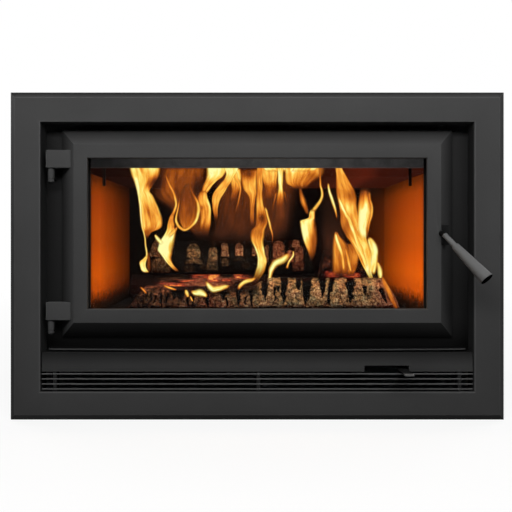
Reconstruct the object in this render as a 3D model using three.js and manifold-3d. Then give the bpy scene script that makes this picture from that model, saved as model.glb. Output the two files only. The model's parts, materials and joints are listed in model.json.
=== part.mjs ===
// Inbuilt wood-burning fireplace with a side-hinged glass door, built as separate pieces.
// Millimetres. X runs to the right, Y to the back, Z up. The face of the fascia lies at Y = 0 and the
// underside of the fascia at Z = 0. The last lines move the origin to the middle of the base.
import * as THREE from 'three';
import { mergeVertices } from 'three/addons/utils/BufferGeometryUtils.js';
import Module from 'manifold-3d';

const wasm = await Module();
wasm.setup();

// Clearances between pieces
const fit = 0.3;
const runningFit = 0.5;
const overrun = 10;

// Fascia: a folded steel surround with a chamfered outer edge and a rear lip against the wall
const fasciaWidth = 929;
const fasciaHeight = 616.5;
const fasciaSideFace = 59.5;
const fasciaTopFace = 57.9;
const fasciaBottomFace = 55.2;
const fasciaChamfer = 12;
const fasciaDepth = 32;
const fasciaReturn = 36;
const fasciaSheet = 3;
const fasciaLip = 16;
const edgeBreak = 1.2;

// Fascia brackets: angles that hang the fascia on the casing
const bracketSheet = 3;
const bracketLegDepth = 64;
const bracketHeight = 300;

// Front plate of the firebox
const frontPlateThickness = 5;
const frontPlateSkirt = 28;
const loadOutset = 5.4;
const loadSillDrop = 16.9;
const loadTopRise = 12.8;
const loadCornerRadius = 10;
const outletSlot = 12;

// Door: a mitred frame with a wide bevel round a flat face
const doorSideGap = 31.9;
const doorTopGap = 10.3;
const doorLedgeGap = 18.4;
const doorPlateGap = 3.3;
const doorDepth = 38;
const doorFlatWidth = 25.5;
const doorBevelWidth = 32;
const doorRimThickness = 2;
const doorSkin = 4;
const doorFaceThickness = 8;
const doorRibThickness = 1.8;
const doorRibInset = 2;
const doorRebateWidth = 18.8;

// Glass, its tape and the retainer that presses it and holds the rope
const glassThickness = 4;
const glassOverlap = 7;
const tapeThickness = 1.5;
const tapeInset = 1;
const retainerSheet = 1.5;
const retainerFootInset = 2.5;
const ropeRadius = 3.5;
const ropeSides = 8;

// Hinges: a block on the door's bevel turns on a pin that a lug on the front plate carries
const hingeAxisOffset = 14.9;
const hingeAxisInset = 21;
const hingeBlockHeight = 33;
const hingeBlockFrontInset = 8.5;
const hingeBlockDepth = 18.5;
const hingeBlockEnd = 8;
const hingeBlockChamfer = 1.5;
const upperHingeDrop = 41.4;
const lowerHingeRise = 35.6;
const hingePinRadius = 5.85;
const hingePinLength = 26;
const hingeJournalRadius = 4;
const hingeGrooveDepth = 0.9;
const hingeGrooveWidth = 1.6;
const hingeGrooveRise = 5;
const hingeLugThickness = 6;
const roundSides = 24;

// Latch: a bent rod with a tapered grip turns a tongue behind a keeper
const spindleOffset = 1.4;
const rodRadius = 5;
const rodBend = 7;
const rodRootDepth = 8.5;
const rodLength = 44;
const rodSides = 12;
const rodSteps = 18;
const gripStart = 32;
const gripLength = 84;
const gripSmallRadius = 7;
const gripLargeRadius = 12.4;
const gripRound = 1.5;
const gripBoreDepth = 13;
const handleDropDegrees = 53.5;
const handleOutDegrees = 30;
const bossWidth = 15;
const bossHeight = 37;
const bossRise = 16;
const tongueThickness = 4;
const tongueReach = 18;
const tongueHalfWidth = 4;
const tongueHubRadius = 6;
const tongueBoreRadius = 3.5;
const tonguePlateGap = 4;
const tongueRestDegrees = 60;
const nutRadius = 5.5;
const nutThickness = 3;
const nutSides = 6;
const keeperLipThickness = 4;
const keeperLipGap = 0.8;
const keeperNear = 10.5;
const keeperFar = 16.5;
const keeperLipTop = 7;
const keeperPostTop = 3;
const keeperPostThickness = 5;
const keeperFootThickness = 3;
const keeperFootDrop = 26;

// Ash ledge
const ledgeThickness = 3;
const ledgeGap = 3.4;
const ledgeEndInset = 10;
const ledgeFrontInset = 0.5;
const ledgeBow = 10;
const ledgeCorner = 12;
const ledgeFlangeDrop = 16;

// Lower panel with the notch for the air lever
const lowerPanelHeight = 36;
const lowerPanelInset = 4;
const lowerPanelSheet = 2;
const lowerPanelFlange = 20;
const lowerPanelEndGap = 2;
const notchRight = 284;
const notchWidth = 83.4;
const notchHeight = 11.2;

// Louvre: four blades in three comb ribs
const louvreHeight = 37;
const louvreBlades = 4;
const louvrePitch = 9.4;
const louvreTopDrop = 3.3;
const bladeThickness = 2;
const bladeDepth = 14;
const bladeTiltDegrees = 8;
const bladeFrontInset = 4;
const ribFrontInset = 5;
const ribDepth = 17;
const ribThickness = 6.5;
const ribEndInset = 26;
const ribCentreOffset = 2;

// Air slide and the box that guides it
const leverWidth = 17;
const leverEdgeGap = 1.5;
const leverReach = 45;
const slideThickness = 3;
const slidePanelRise = 1.4;
const slideWidth = 120;
const slideDepth = 74;
const slidePortWidth = 40;
const slidePortDepth = 44;
const slideTravel = 63;
const airBoxSheet = 2.5;
const airBoxLip = 8;
const airBoxEndRoom = 8;
const airBoxSetback = 6;

// Firebox: a welded shell lined with bricks
const cheekInset = 6;
const cheekThickness = 5;
const cheekStart = 18.7;
const cheekLength = 72.7;
const brickThickness = 30.4;
const floorBrickThickness = 29.7;
const floorBrickSetback = 34;
const brickChamfer = 2;
const hearthDrop = 5;
const shellSheet = 5;
const shellDepth = 430.4;
const shellTopRise = 20;
const shellLegWidth = 60;
const shellLegInset = 108;
const shellLegSetback = 90;
const airInletDepth = 18;
const baffleDrop = 35;
const baffleThickness = 6;
const baffleLipHeight = 25;
const baffleLipThickness = 5;
const baffleFront = 88.4;
const clipWidth = 6;
const clipInset = 10;
const clipDrop = 19;
const clipSheet = 3;

// Air-wash manifold behind the top of the glass
const manifoldDrop = 25;
const manifoldHeight = 33;
const manifoldDepth = 11;
const manifoldSheet = 3;
const manifoldSlot = 2.7;

// Flue spigot
const flueRadius = 75;
const flueSheet = 3;
const flueFlangeWidth = 20;
const flueFlangeThickness = 4;
const flueSetback = 208.4;
const flueRise = 52;
const flueHoleGap = 3;
const flueSides = 32;

// Convection casing and base
const casingSheet = 2;
const casingOutset = 10;
const casingTopGap = 63;
const casingBackGap = 28;
const casingBaseRise = 20.3;
const casingFlange = 15;
const swageWidth = 34;
const swageDepth = 4;
const swageSpacing = 230;
const swages = 3;
const runnerWidth = 40;
const runnerSheet = 3;
const runnerInset = 72;
const runnerFrontInset = 20;

// Fire: logs on a bed of embers
const emberHeight = 20;
const emberEndRoom = 42;
const emberBackRoom = 19.7;
const emberFrontReach = 35;
const emberColumns = 24;
const emberRows = 10;
const emberEdge = 4;
const logSeat = 6;
const logClearance = 0.4;
const logRings = 14;
const logSides = 12;
const frontLogRadius = 36;
const frontLogAdvance = 132;
const frontLogLeftRoom = 55;
const frontLogRightRoom = 45;
const rearLogRadius = 31;
const rearLogBackRoom = 132.7;
const rearLogEndRoom = 35;
const upperLogRadius = 43;
const upperLogLeftRoom = 72;
const upperLogAdvance = 14;
const upperLogsGap = 18;
const rightLogRadius = 36;
const rightLogLength = 128;
const rightLogRightRoom = 59;
const rightLogAdvance = 38;
const rightLogSink = 12;
const logEndSlant = 20;
const logTaperShare = 0.12;
// Bark waves as [share of the radius, turns round the log, waves along it]
const barkShares = [[0.05, 2, 2], [0.035, 3, -5], [0.02, 5, 9]];
// Ember humps as [share of the height, waves across, waves deep]
const emberShares = [[0.18, 5, 3], [0.12, 11, 4]];

// Places worked out from the sizes, from the outside in
const fasciaHalf = fasciaWidth / 2;
const openingHalf = fasciaHalf - fasciaSideFace;
const openingBottom = fasciaBottomFace;
const openingTop = fasciaHeight - fasciaTopFace;
const panelBottom = openingBottom + louvreHeight;
const panelTop = panelBottom + lowerPanelHeight;
const ledgeBottom = panelTop + ledgeGap;
const ledgeTop = ledgeBottom + ledgeThickness;
const frontPlateY = fasciaReturn + fit;
const frontPlateBack = frontPlateY + frontPlateThickness;
const doorHalf = openingHalf - doorSideGap;
const doorBottom = ledgeTop + doorLedgeGap;
const doorTop = openingTop - doorTopGap;
const doorRear = frontPlateY - doorPlateGap;
const doorFront = doorRear - doorDepth;
const doorBorder = doorFlatWidth + doorBevelWidth;
const glassHalf = doorHalf - doorBorder;
const glassBottom = doorBottom + doorBorder;
const glassTop = doorTop - doorBorder;
const loadHalf = glassHalf + loadOutset;
const loadBottom = glassBottom - loadSillDrop;
const loadTop = glassTop + loadTopRise;
const frontPlateBottom = ledgeBottom - frontPlateSkirt;
const frontPlateTop = openingTop - outletSlot;
const casingHalf = openingHalf + casingOutset;
const casingInner = casingHalf - casingSheet;
const hearthTop = loadBottom - hearthDrop;
const shellFloor = hearthTop - floorBrickThickness - fit;
const shellBottom = shellFloor - shellSheet;
const shellCeiling = loadTop + shellTopRise;
const shellTop = shellCeiling + shellSheet;
const brickFace = loadHalf + cheekInset;
const shellInner = brickFace + brickThickness + fit;
const shellOuter = shellInner + shellSheet;
const shellFront = frontPlateBack + fit;
const shellBack = shellFront + shellDepth;
const fireboxBack = shellBack - shellSheet;
const brickBackFace = fireboxBack - brickThickness - fit;
const baffleBottom = loadTop - baffleDrop;
const baffleTop = baffleBottom + baffleThickness;
const casingTop = shellTop + casingTopGap;
const casingBack = shellBack + casingBackGap;
const flueY = shellFront + flueSetback;
const flueTop = casingTop + flueRise;

// Finishes
const charcoalPaint = { color: 0x3c3c3c, roughness: 0.5, metalness: 0.3 };
const blackPaint = { color: 0x1c1c1c, roughness: 0.6, metalness: 0.2 };
const firedSteel = { color: 0x2c2a29, roughness: 0.7, metalness: 0.6 };
const galvanisedSteel = { color: 0x8a8f92, roughness: 0.5, metalness: 0.8 };
const firebrick = { color: 0xb98a5e, roughness: 0.95, metalness: 0 };
const ceramicGlass = { color: 0x8a8478, roughness: 0.05, metalness: 0, transparent: true, opacity: 0.25 };
const glassRope = { color: 0x2e2e2e, roughness: 1, metalness: 0 };
const charredWood = { color: 0x2a1a12, roughness: 0.95, metalness: 0 };
const glowingEmber = { color: 0x7a2408, roughness: 0.95, metalness: 0 };

const fireplace = new THREE.Group();

function add(name, geometry, finish) {
  const mesh = new THREE.Mesh(geometry, new THREE.MeshStandardMaterial(finish));
  mesh.name = name;
  fireplace.add(mesh);
  return mesh;
}

// Joins and cuts

function toSolid(geometry) {
  const bare = geometry.clone();
  bare.deleteAttribute('normal');
  bare.deleteAttribute('uv');
  const merged = mergeVertices(bare, fit / overrun ** 2);
  const mesh = new wasm.Mesh({
    numProp: 3,
    vertProperties: new Float32Array(merged.attributes.position.array),
    triVerts: new Uint32Array(merged.index.array),
  });
  return new wasm.Manifold(mesh);
}

function toGeometry(solid) {
  const { vertProperties, triVerts, numProp } = solid.getMesh();
  const indexed = new THREE.BufferGeometry();
  indexed.setAttribute('position', new THREE.InterleavedBufferAttribute(
    new THREE.InterleavedBuffer(vertProperties, numProp), 3, 0));
  indexed.setIndex(new THREE.BufferAttribute(triVerts, 1));
  const geometry = indexed.toNonIndexed();
  geometry.computeVertexNormals();
  return geometry;
}

function cut(geometry, ...tools) {
  return toGeometry(tools.reduce((solid, tool) => solid.subtract(toSolid(tool)), toSolid(geometry)));
}

function join(geometry, ...others) {
  return toGeometry(others.reduce((solid, other) => solid.add(toSolid(other)), toSolid(geometry)));
}

// Basic forms

function slab([x0, x1], [y0, y1], [z0, z1]) {
  const geometry = new THREE.BoxGeometry(x1 - x0, y1 - y0, z1 - z0);
  return geometry.translate((x0 + x1) / 2, (y0 + y1) / 2, (z0 + z1) / 2);
}

function outline(points) {
  return new THREE.Shape(points.map(([u, v]) => new THREE.Vector2(u, v)));
}

const unitX = new THREE.Vector3(1, 0, 0);
const unitY = new THREE.Vector3(0, 1, 0);
const unitZ = new THREE.Vector3(0, 0, 1);

// A shape drawn in two axes is extruded along the third.
const drawnIn = { xy: [unitX, unitY, unitZ], yz: [unitY, unitZ, unitX], zx: [unitZ, unitX, unitY] };

function extruded(shape, plane, from, to) {
  const options = { depth: to - from, bevelEnabled: false, curveSegments: 6 };
  const geometry = new THREE.ExtrudeGeometry(shape, options);
  geometry.translate(0, 0, from);
  return geometry.applyMatrix4(new THREE.Matrix4().makeBasis(...drawnIn[plane]));
}

// A folded sheet: its outer face follows the path, and its inner face lies one thickness to the right of it,
// mitred at each fold.
function foldedSheet(path, thickness) {
  const outer = path.map(([u, v]) => new THREE.Vector2(u, v));
  const across = outer.slice(1).map((point, i) => {
    const along = point.clone().sub(outer[i]).normalize();
    return new THREE.Vector2(along.y, -along.x);
  });
  const inner = outer.map((point, i) => {
    const [before, after] = [across[Math.max(i - 1, 0)], across[Math.min(i, across.length - 1)]];
    const mitre = before.clone().add(after).divideScalar(1 + before.dot(after));
    return point.clone().addScaledVector(mitre, thickness);
  });
  return new THREE.Shape([...outer, ...inner.reverse()]);
}

function roundBar(radius, axis, [x, y, z], length, sides = roundSides) {
  const geometry = new THREE.CylinderGeometry(radius, radius, length, sides);
  geometry.applyQuaternion(new THREE.Quaternion().setFromUnitVectors(unitY, axis));
  return geometry.translate(x, y, z);
}

// A profile of [radius, height] points is turned about the upright axis through x and y.
function turned(profile, [x, y], sides = roundSides) {
  const points = profile.map(([radius, height]) => new THREE.Vector2(radius, height));
  const geometry = new THREE.LatheGeometry(points, sides);
  geometry.applyMatrix4(new THREE.Matrix4().makeRotationX(Math.PI / 2));
  return facingOut(geometry.translate(x, y, 0));
}

// Turns every triangle round when the closed surface encloses a negative volume.
function facingOut(geometry) {
  const flat = geometry.index ? geometry.toNonIndexed() : geometry;
  const { array } = flat.attributes.position;
  const [a, b, c] = [new THREE.Vector3(), new THREE.Vector3(), new THREE.Vector3()];
  let volume = 0;
  for (let i = 0; i < array.length; i += 9) {
    a.fromArray(array, i);
    b.fromArray(array, i + 3);
    c.fromArray(array, i + 6);
    volume += a.dot(b.cross(c));
  }
  if (volume < 0) {
    for (let i = 0; i < array.length; i += 9) {
      b.fromArray(array, i + 3);
      c.fromArray(array, i + 6);
      c.toArray(array, i + 3);
      b.toArray(array, i + 6);
    }
  }
  flat.computeVertexNormals();
  return flat;
}

function fromQuads(quads) {
  const positions = quads.flatMap(([a, b, c, d]) => [...a, ...b, ...c, ...a, ...c, ...d]);
  const geometry = new THREE.BufferGeometry();
  geometry.setAttribute('position', new THREE.Float32BufferAttribute(positions, 3));
  return facingOut(geometry);
}

// A mitred frame: each ring is one rectangle of the closed section, and the corners join ring to ring.
function mitredFrame(rings) {
  const corners = rings.map(({ half, bottom, top, y }) => [
    [-half, y, bottom], [half, y, bottom], [half, y, top], [-half, y, top],
  ]);
  const quads = corners.flatMap((ring, i) => {
    const next = corners[(i + 1) % corners.length];
    return ring.map((corner, side) => {
      const turn = (side + 1) % ring.length;
      return [corner, ring[turn], next[turn], next[side]];
    });
  });
  return fromQuads(quads);
}

const pair = [['left', -1], ['right', 1]];

// The slab between two distances from the middle, on the left or the right
function sideSpan(side, near, far) {
  return side < 0 ? [-far, -near] : [near, far];
}

// Fascia

function fasciaOuter(inset, y) {
  return { half: fasciaHalf - inset, bottom: inset, top: fasciaHeight - inset, y };
}

function fasciaInner(outset, y) {
  return { half: openingHalf + outset, bottom: openingBottom - outset, top: openingTop + outset, y };
}

function makeFascia() {
  const bend = fasciaSheet * Math.tan(Math.PI / 8);
  add('fascia_frame', mitredFrame([
    fasciaOuter(0, fasciaDepth),
    fasciaOuter(0, fasciaChamfer),
    fasciaOuter(fasciaChamfer, 0),
    fasciaInner(edgeBreak, 0),
    fasciaInner(0, edgeBreak),
    fasciaInner(0, fasciaReturn),
    fasciaInner(fasciaSheet, fasciaReturn),
    fasciaInner(fasciaSheet, fasciaSheet),
    fasciaOuter(fasciaChamfer + bend, fasciaSheet),
    fasciaOuter(fasciaSheet, fasciaChamfer + bend),
    fasciaOuter(fasciaSheet, fasciaDepth - fasciaSheet),
    fasciaOuter(fasciaLip, fasciaDepth - fasciaSheet),
    fasciaOuter(fasciaLip, fasciaDepth),
  ]), charcoalPaint);

  const near = casingHalf + fit;
  const faceBack = fasciaSheet + fit;
  const reach = fasciaHalf - fasciaLip - fit;
  const bracketEnd = faceBack + bracketLegDepth;
  const middle = fasciaHeight / 2;
  for (const [word, side] of pair) {
    const angle = [
      [near, faceBack], [reach, faceBack], [reach, faceBack + bracketSheet],
      [near + bracketSheet, faceBack + bracketSheet], [near + bracketSheet, bracketEnd],
      [near, bracketEnd],
    ].map(([x, y]) => [side * x, y]);
    const [low, high] = [middle - bracketHeight / 2, middle + bracketHeight / 2];
    add(`fascia_bracket_${word}`, extruded(outline(angle), 'xy', low, high), galvanisedSteel);
  }
}

// Casing and base

function makeCasing() {
  const baseTop = casingBaseRise + casingSheet;
  const sideFront = frontPlateBack + fit;
  for (const [word, side] of pair) {
    add(`casing_${word}`, slab(sideSpan(side, casingInner, casingHalf), [sideFront, casingBack],
      [casingBaseRise, casingTop]), galvanisedSteel);
  }
  const inside = casingInner - fit;
  const backFront = casingBack - casingSheet;
  const backPath = [[-inside, backFront - casingFlange], [-inside, casingBack]];
  for (let i = 0; i < swages; i += 1) {
    const middle = (i - (swages - 1) / 2) * swageSpacing;
    const [foot, crest] = [swageWidth / 2, swageWidth / 2 - swageDepth];
    backPath.push([middle - foot, casingBack], [middle - crest, casingBack + swageDepth],
      [middle + crest, casingBack + swageDepth], [middle + foot, casingBack]);
  }
  backPath.push([inside, casingBack], [inside, backFront - casingFlange]);
  add('casing_back', extruded(foldedSheet(backPath, casingSheet), 'xy', baseTop + fit,
    casingTop - casingSheet - fit), galvanisedSteel);

  const lipFront = fasciaReturn + fit;
  const lipBottom = openingTop + edgeBreak;
  const hood = extruded(outline([
    [lipFront, lipBottom], [lipFront + casingSheet, lipBottom],
    [lipFront + casingSheet, casingTop - casingSheet], [casingBack, casingTop - casingSheet],
    [casingBack, casingTop], [lipFront, casingTop],
  ]), 'yz', -inside, inside);
  const flueHole = roundBar(flueRadius + flueHoleGap, unitZ, [0, flueY, casingTop], casingTopGap, flueSides);
  add('casing_top', cut(hood, flueHole), galvanisedSteel);

  const lipTop = openingBottom - fasciaSheet - fit;
  add('casing_base', extruded(outline([
    [sideFront, casingBaseRise], [casingBack, casingBaseRise], [casingBack, baseTop],
    [sideFront + casingSheet, baseTop], [sideFront + casingSheet, lipTop], [sideFront, lipTop],
  ]), 'yz', -inside, inside), galvanisedSteel);

  const runnerTop = casingBaseRise - fit;
  for (const [word, side] of pair) {
    const outer = casingHalf - runnerInset;
    const channel = [
      [outer, 0], [outer, runnerSheet], [outer - runnerWidth + runnerSheet, runnerSheet],
      [outer - runnerWidth + runnerSheet, runnerTop - runnerSheet], [outer, runnerTop - runnerSheet],
      [outer, runnerTop], [outer - runnerWidth, runnerTop], [outer - runnerWidth, 0],
    ].map(([x, z]) => [z, side * x]);
    add(`base_runner_${word}`, extruded(outline(channel), 'zx', sideFront + runnerFrontInset,
      casingBack - runnerFrontInset), galvanisedSteel);
  }
}

// Firebox

function roundedRectangle(half, bottom, top, radius) {
  const path = new THREE.Path();
  path.moveTo(bottom, half - radius);
  path.absarc(bottom + radius, half - radius, radius, Math.PI, Math.PI / 2, true);
  path.absarc(top - radius, half - radius, radius, Math.PI / 2, 0, true);
  path.absarc(top - radius, radius - half, radius, 0, -Math.PI / 2, true);
  path.absarc(bottom + radius, radius - half, radius, -Math.PI / 2, -Math.PI, true);
  path.closePath();
  return path;
}

function makeFirebox() {
  const plate = outline([
    [frontPlateBottom, -casingHalf], [frontPlateTop, -casingHalf], [frontPlateTop, casingHalf],
    [frontPlateBottom, casingHalf],
  ]);
  plate.holes.push(roundedRectangle(loadHalf, loadBottom, loadTop, loadCornerRadius));
  add('front_plate', extruded(plate, 'zx', frontPlateY, frontPlateBack), blackPaint);

  const body = slab([-shellOuter, shellOuter], [shellFront, shellBack], [shellBottom, shellTop]);
  const hollow = slab([-shellInner, shellInner], [shellFront - overrun, fireboxBack],
    [shellFloor, shellCeiling]);
  const flueHole = roundBar(flueRadius - flueSheet, unitZ, [0, flueY, shellTop], shellTopRise, flueSides);
  const inletLeft = airBoxRight() - slideWidth;
  const inletFront = shellFront + airBoxSetback + airBoxSheet;
  const airInlet = slab([inletLeft, slideRight()], [inletFront, inletFront + airInletDepth],
    [shellBottom - overrun, shellFloor + overrun]);
  const legs = pair.map(([, side]) => slab(
    sideSpan(side, shellOuter - shellLegInset - shellLegWidth, shellOuter - shellLegInset),
    [shellBack - shellLegSetback, shellBack - shellLegSetback + shellSheet],
    [casingBaseRise + casingSheet + fit, shellFloor]));
  add('firebox_shell', join(cut(body, hollow, flueHole, airInlet), ...legs), firedSteel);

  const inner = flueRadius - flueSheet;
  const foot = shellTop + fit;
  add('flue_spigot', turned([
    [inner, foot], [flueRadius + flueFlangeWidth, foot],
    [flueRadius + flueFlangeWidth, foot + flueFlangeThickness], [flueRadius, foot + flueFlangeThickness],
    [flueRadius, flueTop], [inner, flueTop], [inner, foot],
  ], [0, flueY], flueSides), firedSteel);
}

// A firebrick with its four long edges chamfered
function brick(plane, [u0, u1], [v0, v1], from, to) {
  const c = brickChamfer;
  return extruded(outline([
    [u0 + c, v0], [u1 - c, v0], [u1, v0 + c], [u1, v1 - c],
    [u1 - c, v1], [u0 + c, v1], [u0, v1 - c], [u0, v0 + c],
  ]), plane, from, to);
}

function makeLining() {
  const cheekFront = shellFront + cheekStart;
  const cheekBack = cheekFront + cheekLength;
  const brickTop = baffleBottom - fit;
  const wall = brickFace + brickThickness;
  for (const [word, side] of pair) {
    const floorFront = shellFront + floorBrickSetback;
    add(`floor_brick_${word}`, brick('xy', sideSpan(side, fit, wall), [floorFront, fireboxBack - fit],
      shellFloor + fit, hearthTop), firebrick);
    add(`side_brick_${word}`, brick('xy', sideSpan(side, brickFace, wall),
      [cheekBack + fit, brickBackFace - fit], hearthTop + fit, brickTop), firebrick);
    add(`back_brick_${word}`, brick('xy', sideSpan(side, fit, wall), [brickBackFace, fireboxBack - fit],
      hearthTop + fit, brickTop), firebrick);
    const cheek = [
      [brickFace, cheekFront], [wall, cheekFront], [wall, cheekFront + cheekThickness],
      [brickFace + cheekThickness, cheekFront + cheekThickness], [brickFace + cheekThickness, cheekBack],
      [brickFace, cheekBack],
    ].map(([x, y]) => [side * x, y]);
    add(`cheek_plate_${word}`, extruded(outline(cheek), 'xy', hearthTop + fit, brickTop), firedSteel);
  }

  const lipFront = shellFront + baffleFront;
  const lipTop = baffleTop + baffleLipHeight - baffleThickness;
  add('baffle_plate', extruded(outline([
    [lipFront, baffleBottom], [fireboxBack - fit, baffleBottom], [fireboxBack - fit, baffleTop],
    [lipFront + baffleLipThickness, baffleTop], [lipFront + baffleLipThickness, lipTop], [lipFront, lipTop],
  ]), 'yz', -wall, wall), firedSteel);

  const clipFront = lipFront - fit - clipSheet;
  const hookBack = lipFront + baffleLipThickness + fit;
  const hook = outline([
    [clipFront, baffleBottom - clipDrop], [clipFront + clipSheet, baffleBottom - clipDrop],
    [clipFront + clipSheet, lipTop + fit], [hookBack, lipTop + fit], [hookBack, lipTop - clipSheet],
    [hookBack + clipSheet, lipTop - clipSheet], [hookBack + clipSheet, lipTop + fit + clipSheet],
    [clipFront, lipTop + fit + clipSheet],
  ]);
  for (const [word, side] of pair) {
    const middle = brickFace - clipInset;
    const [from, to] = sideSpan(side, middle - clipWidth / 2, middle + clipWidth / 2);
    add(`baffle_clip_${word}`, extruded(hook, 'yz', from, to), firedSteel);
  }

  const back = frontPlateBack + manifoldSlot + manifoldDepth;
  const low = loadTop - manifoldDrop;
  const high = low + manifoldHeight;
  add('air_wash_manifold', extruded(outline([
    [frontPlateBack + manifoldSlot, low], [back, low], [back, high], [shellFront, high],
    [shellFront, high - manifoldSheet], [back - manifoldSheet, high - manifoldSheet],
    [back - manifoldSheet, low + manifoldSheet], [frontPlateBack + manifoldSlot, low + manifoldSheet],
  ]), 'yz', fit - shellInner, shellInner - fit), firedSteel);
}

// Door

// A ring of the door's section: so far outside the edge of the glass opening, at a depth
function doorRing(outset, y) {
  return { half: glassHalf + outset, bottom: glassBottom - outset, top: glassTop + outset, y };
}

const bevelDepth = doorDepth - doorRimThickness;
const bevelSlope = bevelDepth / doorBevelWidth;
const bevelLength = Math.hypot(bevelDepth, doorBevelWidth);

// Depth of the bevel's outer face at a distance from the middle of the door
function bevelY(x) {
  return doorFront + (x - glassHalf - doorFlatWidth) * bevelSlope;
}

// Outset of the inner face of the bevel's skin at a depth
function skinOutset(y) {
  return doorFlatWidth + (y - doorFront) / bevelSlope - doorSkin * bevelLength / bevelDepth;
}

function makeDoor() {
  const rebateY = doorFront + doorFaceThickness;
  const ribOuter = doorRebateWidth + doorRibThickness;
  const ribTop = doorRear - doorRibInset;
  const frame = mitredFrame([
    doorRing(doorBorder, doorRear),
    doorRing(doorBorder, doorRear - doorRimThickness),
    doorRing(doorFlatWidth, doorFront),
    doorRing(edgeBreak, doorFront),
    doorRing(0, doorFront + edgeBreak),
    doorRing(0, rebateY),
    doorRing(doorRebateWidth, rebateY),
    doorRing(doorRebateWidth, ribTop),
    doorRing(ribOuter, ribTop),
    doorRing(ribOuter, rebateY),
    doorRing(skinOutset(rebateY), rebateY),
    doorRing(skinOutset(doorRear), doorRear),
  ]);
  add('door_frame', cut(frame, spindleHole()), charcoalPaint);

  const tapeY = rebateY + fit;
  const tapeBack = tapeY + tapeThickness;
  add('glass_gasket', mitredFrame([
    doorRing(tapeInset, tapeY),
    doorRing(glassOverlap, tapeY),
    doorRing(glassOverlap, tapeBack),
    doorRing(tapeInset, tapeBack),
  ]), glassRope);

  const glassY = tapeBack + fit;
  const glassBack = glassY + glassThickness;
  const pane = doorRing(glassOverlap, glassY);
  const sheet = slab([-pane.half, pane.half], [glassY, glassBack], [pane.bottom, pane.top]);
  add('door_glass', sheet, ceramicGlass);

  const footY = glassBack + fit;
  const ropeFront = doorRear + doorPlateGap - fit - ropeRadius - ropeRadius;
  const floorBack = ropeFront - fit;
  const channelOuter = doorRebateWidth - fit - retainerSheet;
  const channelInner = channelOuter - ropeRadius - ropeRadius - fit - fit;
  const wallTop = doorRear - doorRibInset;
  add('glass_retainer', mitredFrame([
    doorRing(retainerFootInset, footY),
    doorRing(channelInner, footY),
    doorRing(channelInner, floorBack - retainerSheet),
    doorRing(doorRebateWidth - fit, floorBack - retainerSheet),
    doorRing(doorRebateWidth - fit, wallTop),
    doorRing(channelOuter, wallTop),
    doorRing(channelOuter, floorBack),
    doorRing(channelInner, floorBack),
    doorRing(channelInner, wallTop),
    doorRing(channelInner - retainerSheet, wallTop),
    doorRing(channelInner - retainerSheet, footY + retainerSheet),
    doorRing(retainerFootInset, footY + retainerSheet),
  ]), blackPaint);

  const ropeCentre = channelInner + fit + ropeRadius;
  const steps = [...Array(ropeSides).keys()];
  add('door_gasket', mitredFrame(steps.map((step) => {
    const angle = (step + 1 / 2) / ropeSides * Math.PI * 2;
    const y = ropeFront + ropeRadius * (1 + Math.sin(angle));
    return doorRing(ropeCentre + ropeRadius * Math.cos(angle), y);
  })), glassRope);
}

// Hinges

function makeHinges() {
  const axisX = -doorHalf - hingeAxisOffset;
  const axisY = doorRear - hingeAxisInset;
  const front = axisY - hingeBlockFrontInset;
  const back = front + hingeBlockDepth;
  const c = hingeBlockChamfer;
  const clear = fit * bevelLength / bevelDepth;
  const bevelX = (y) => -(glassHalf + doorFlatWidth + (y - doorFront) / bevelSlope) - clear;
  const block = outline([
    [axisX - hingeBlockEnd, front + c], [axisX - hingeBlockEnd + c, front], [bevelX(front), front],
    [bevelX(back), back], [axisX - hingeBlockEnd + c, back], [axisX - hingeBlockEnd, back - c],
  ]);
  const places = [
    ['upper', doorTop - upperHingeDrop - hingeBlockHeight],
    ['lower', doorBottom + lowerHingeRise],
  ];
  for (const [word, bottom] of places) {
    const top = bottom + hingeBlockHeight;
    const bore = roundBar(hingeJournalRadius + runningFit, unitZ, [axisX, axisY, (bottom + top) / 2],
      hingeBlockHeight + overrun);
    add(`hinge_block_${word}`, cut(extruded(block, 'xy', bottom, top), bore), charcoalPaint);

    const shoulder = bottom - runningFit;
    const foot = shoulder - hingePinLength;
    const groove = foot + hingeGrooveRise;
    const neck = hingePinRadius - hingeGrooveDepth;
    add(`hinge_pin_${word}`, turned([
      [0, foot], [hingePinRadius - edgeBreak, foot], [hingePinRadius, foot + edgeBreak],
      [hingePinRadius, groove], [neck, groove], [neck, groove + hingeGrooveWidth],
      [hingePinRadius, groove + hingeGrooveWidth], [hingePinRadius, shoulder], [hingeJournalRadius, shoulder],
      [hingeJournalRadius, top - edgeBreak], [hingeJournalRadius - edgeBreak, top], [0, top],
    ], [axisX, axisY]), charcoalPaint);

    const lugFront = axisY + hingePinRadius + fit;
    add(`hinge_lug_${word}`, slab([axisX - hingeLugThickness / 2, axisX + hingeLugThickness / 2],
      [lugFront, frontPlateY - fit], [groove + hingeGrooveWidth, shoulder - edgeBreak]), blackPaint);
  }
}

// Latch

function spindle() {
  return [glassHalf + doorFlatWidth + spindleOffset, (glassBottom + glassTop) / 2];
}

function spindleHole() {
  const [x, z] = spindle();
  const y = (doorFront + doorRear) / 2 - overrun;
  return roundBar(rodRadius + runningFit, unitY, [x, y, z], doorDepth + overrun);
}

function handleDirection() {
  const drop = THREE.MathUtils.degToRad(handleDropDegrees);
  const out = THREE.MathUtils.degToRad(handleOutDegrees);
  return new THREE.Vector3(Math.cos(out) * Math.cos(drop), -Math.sin(out), -Math.cos(out) * Math.sin(drop));
}

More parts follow.
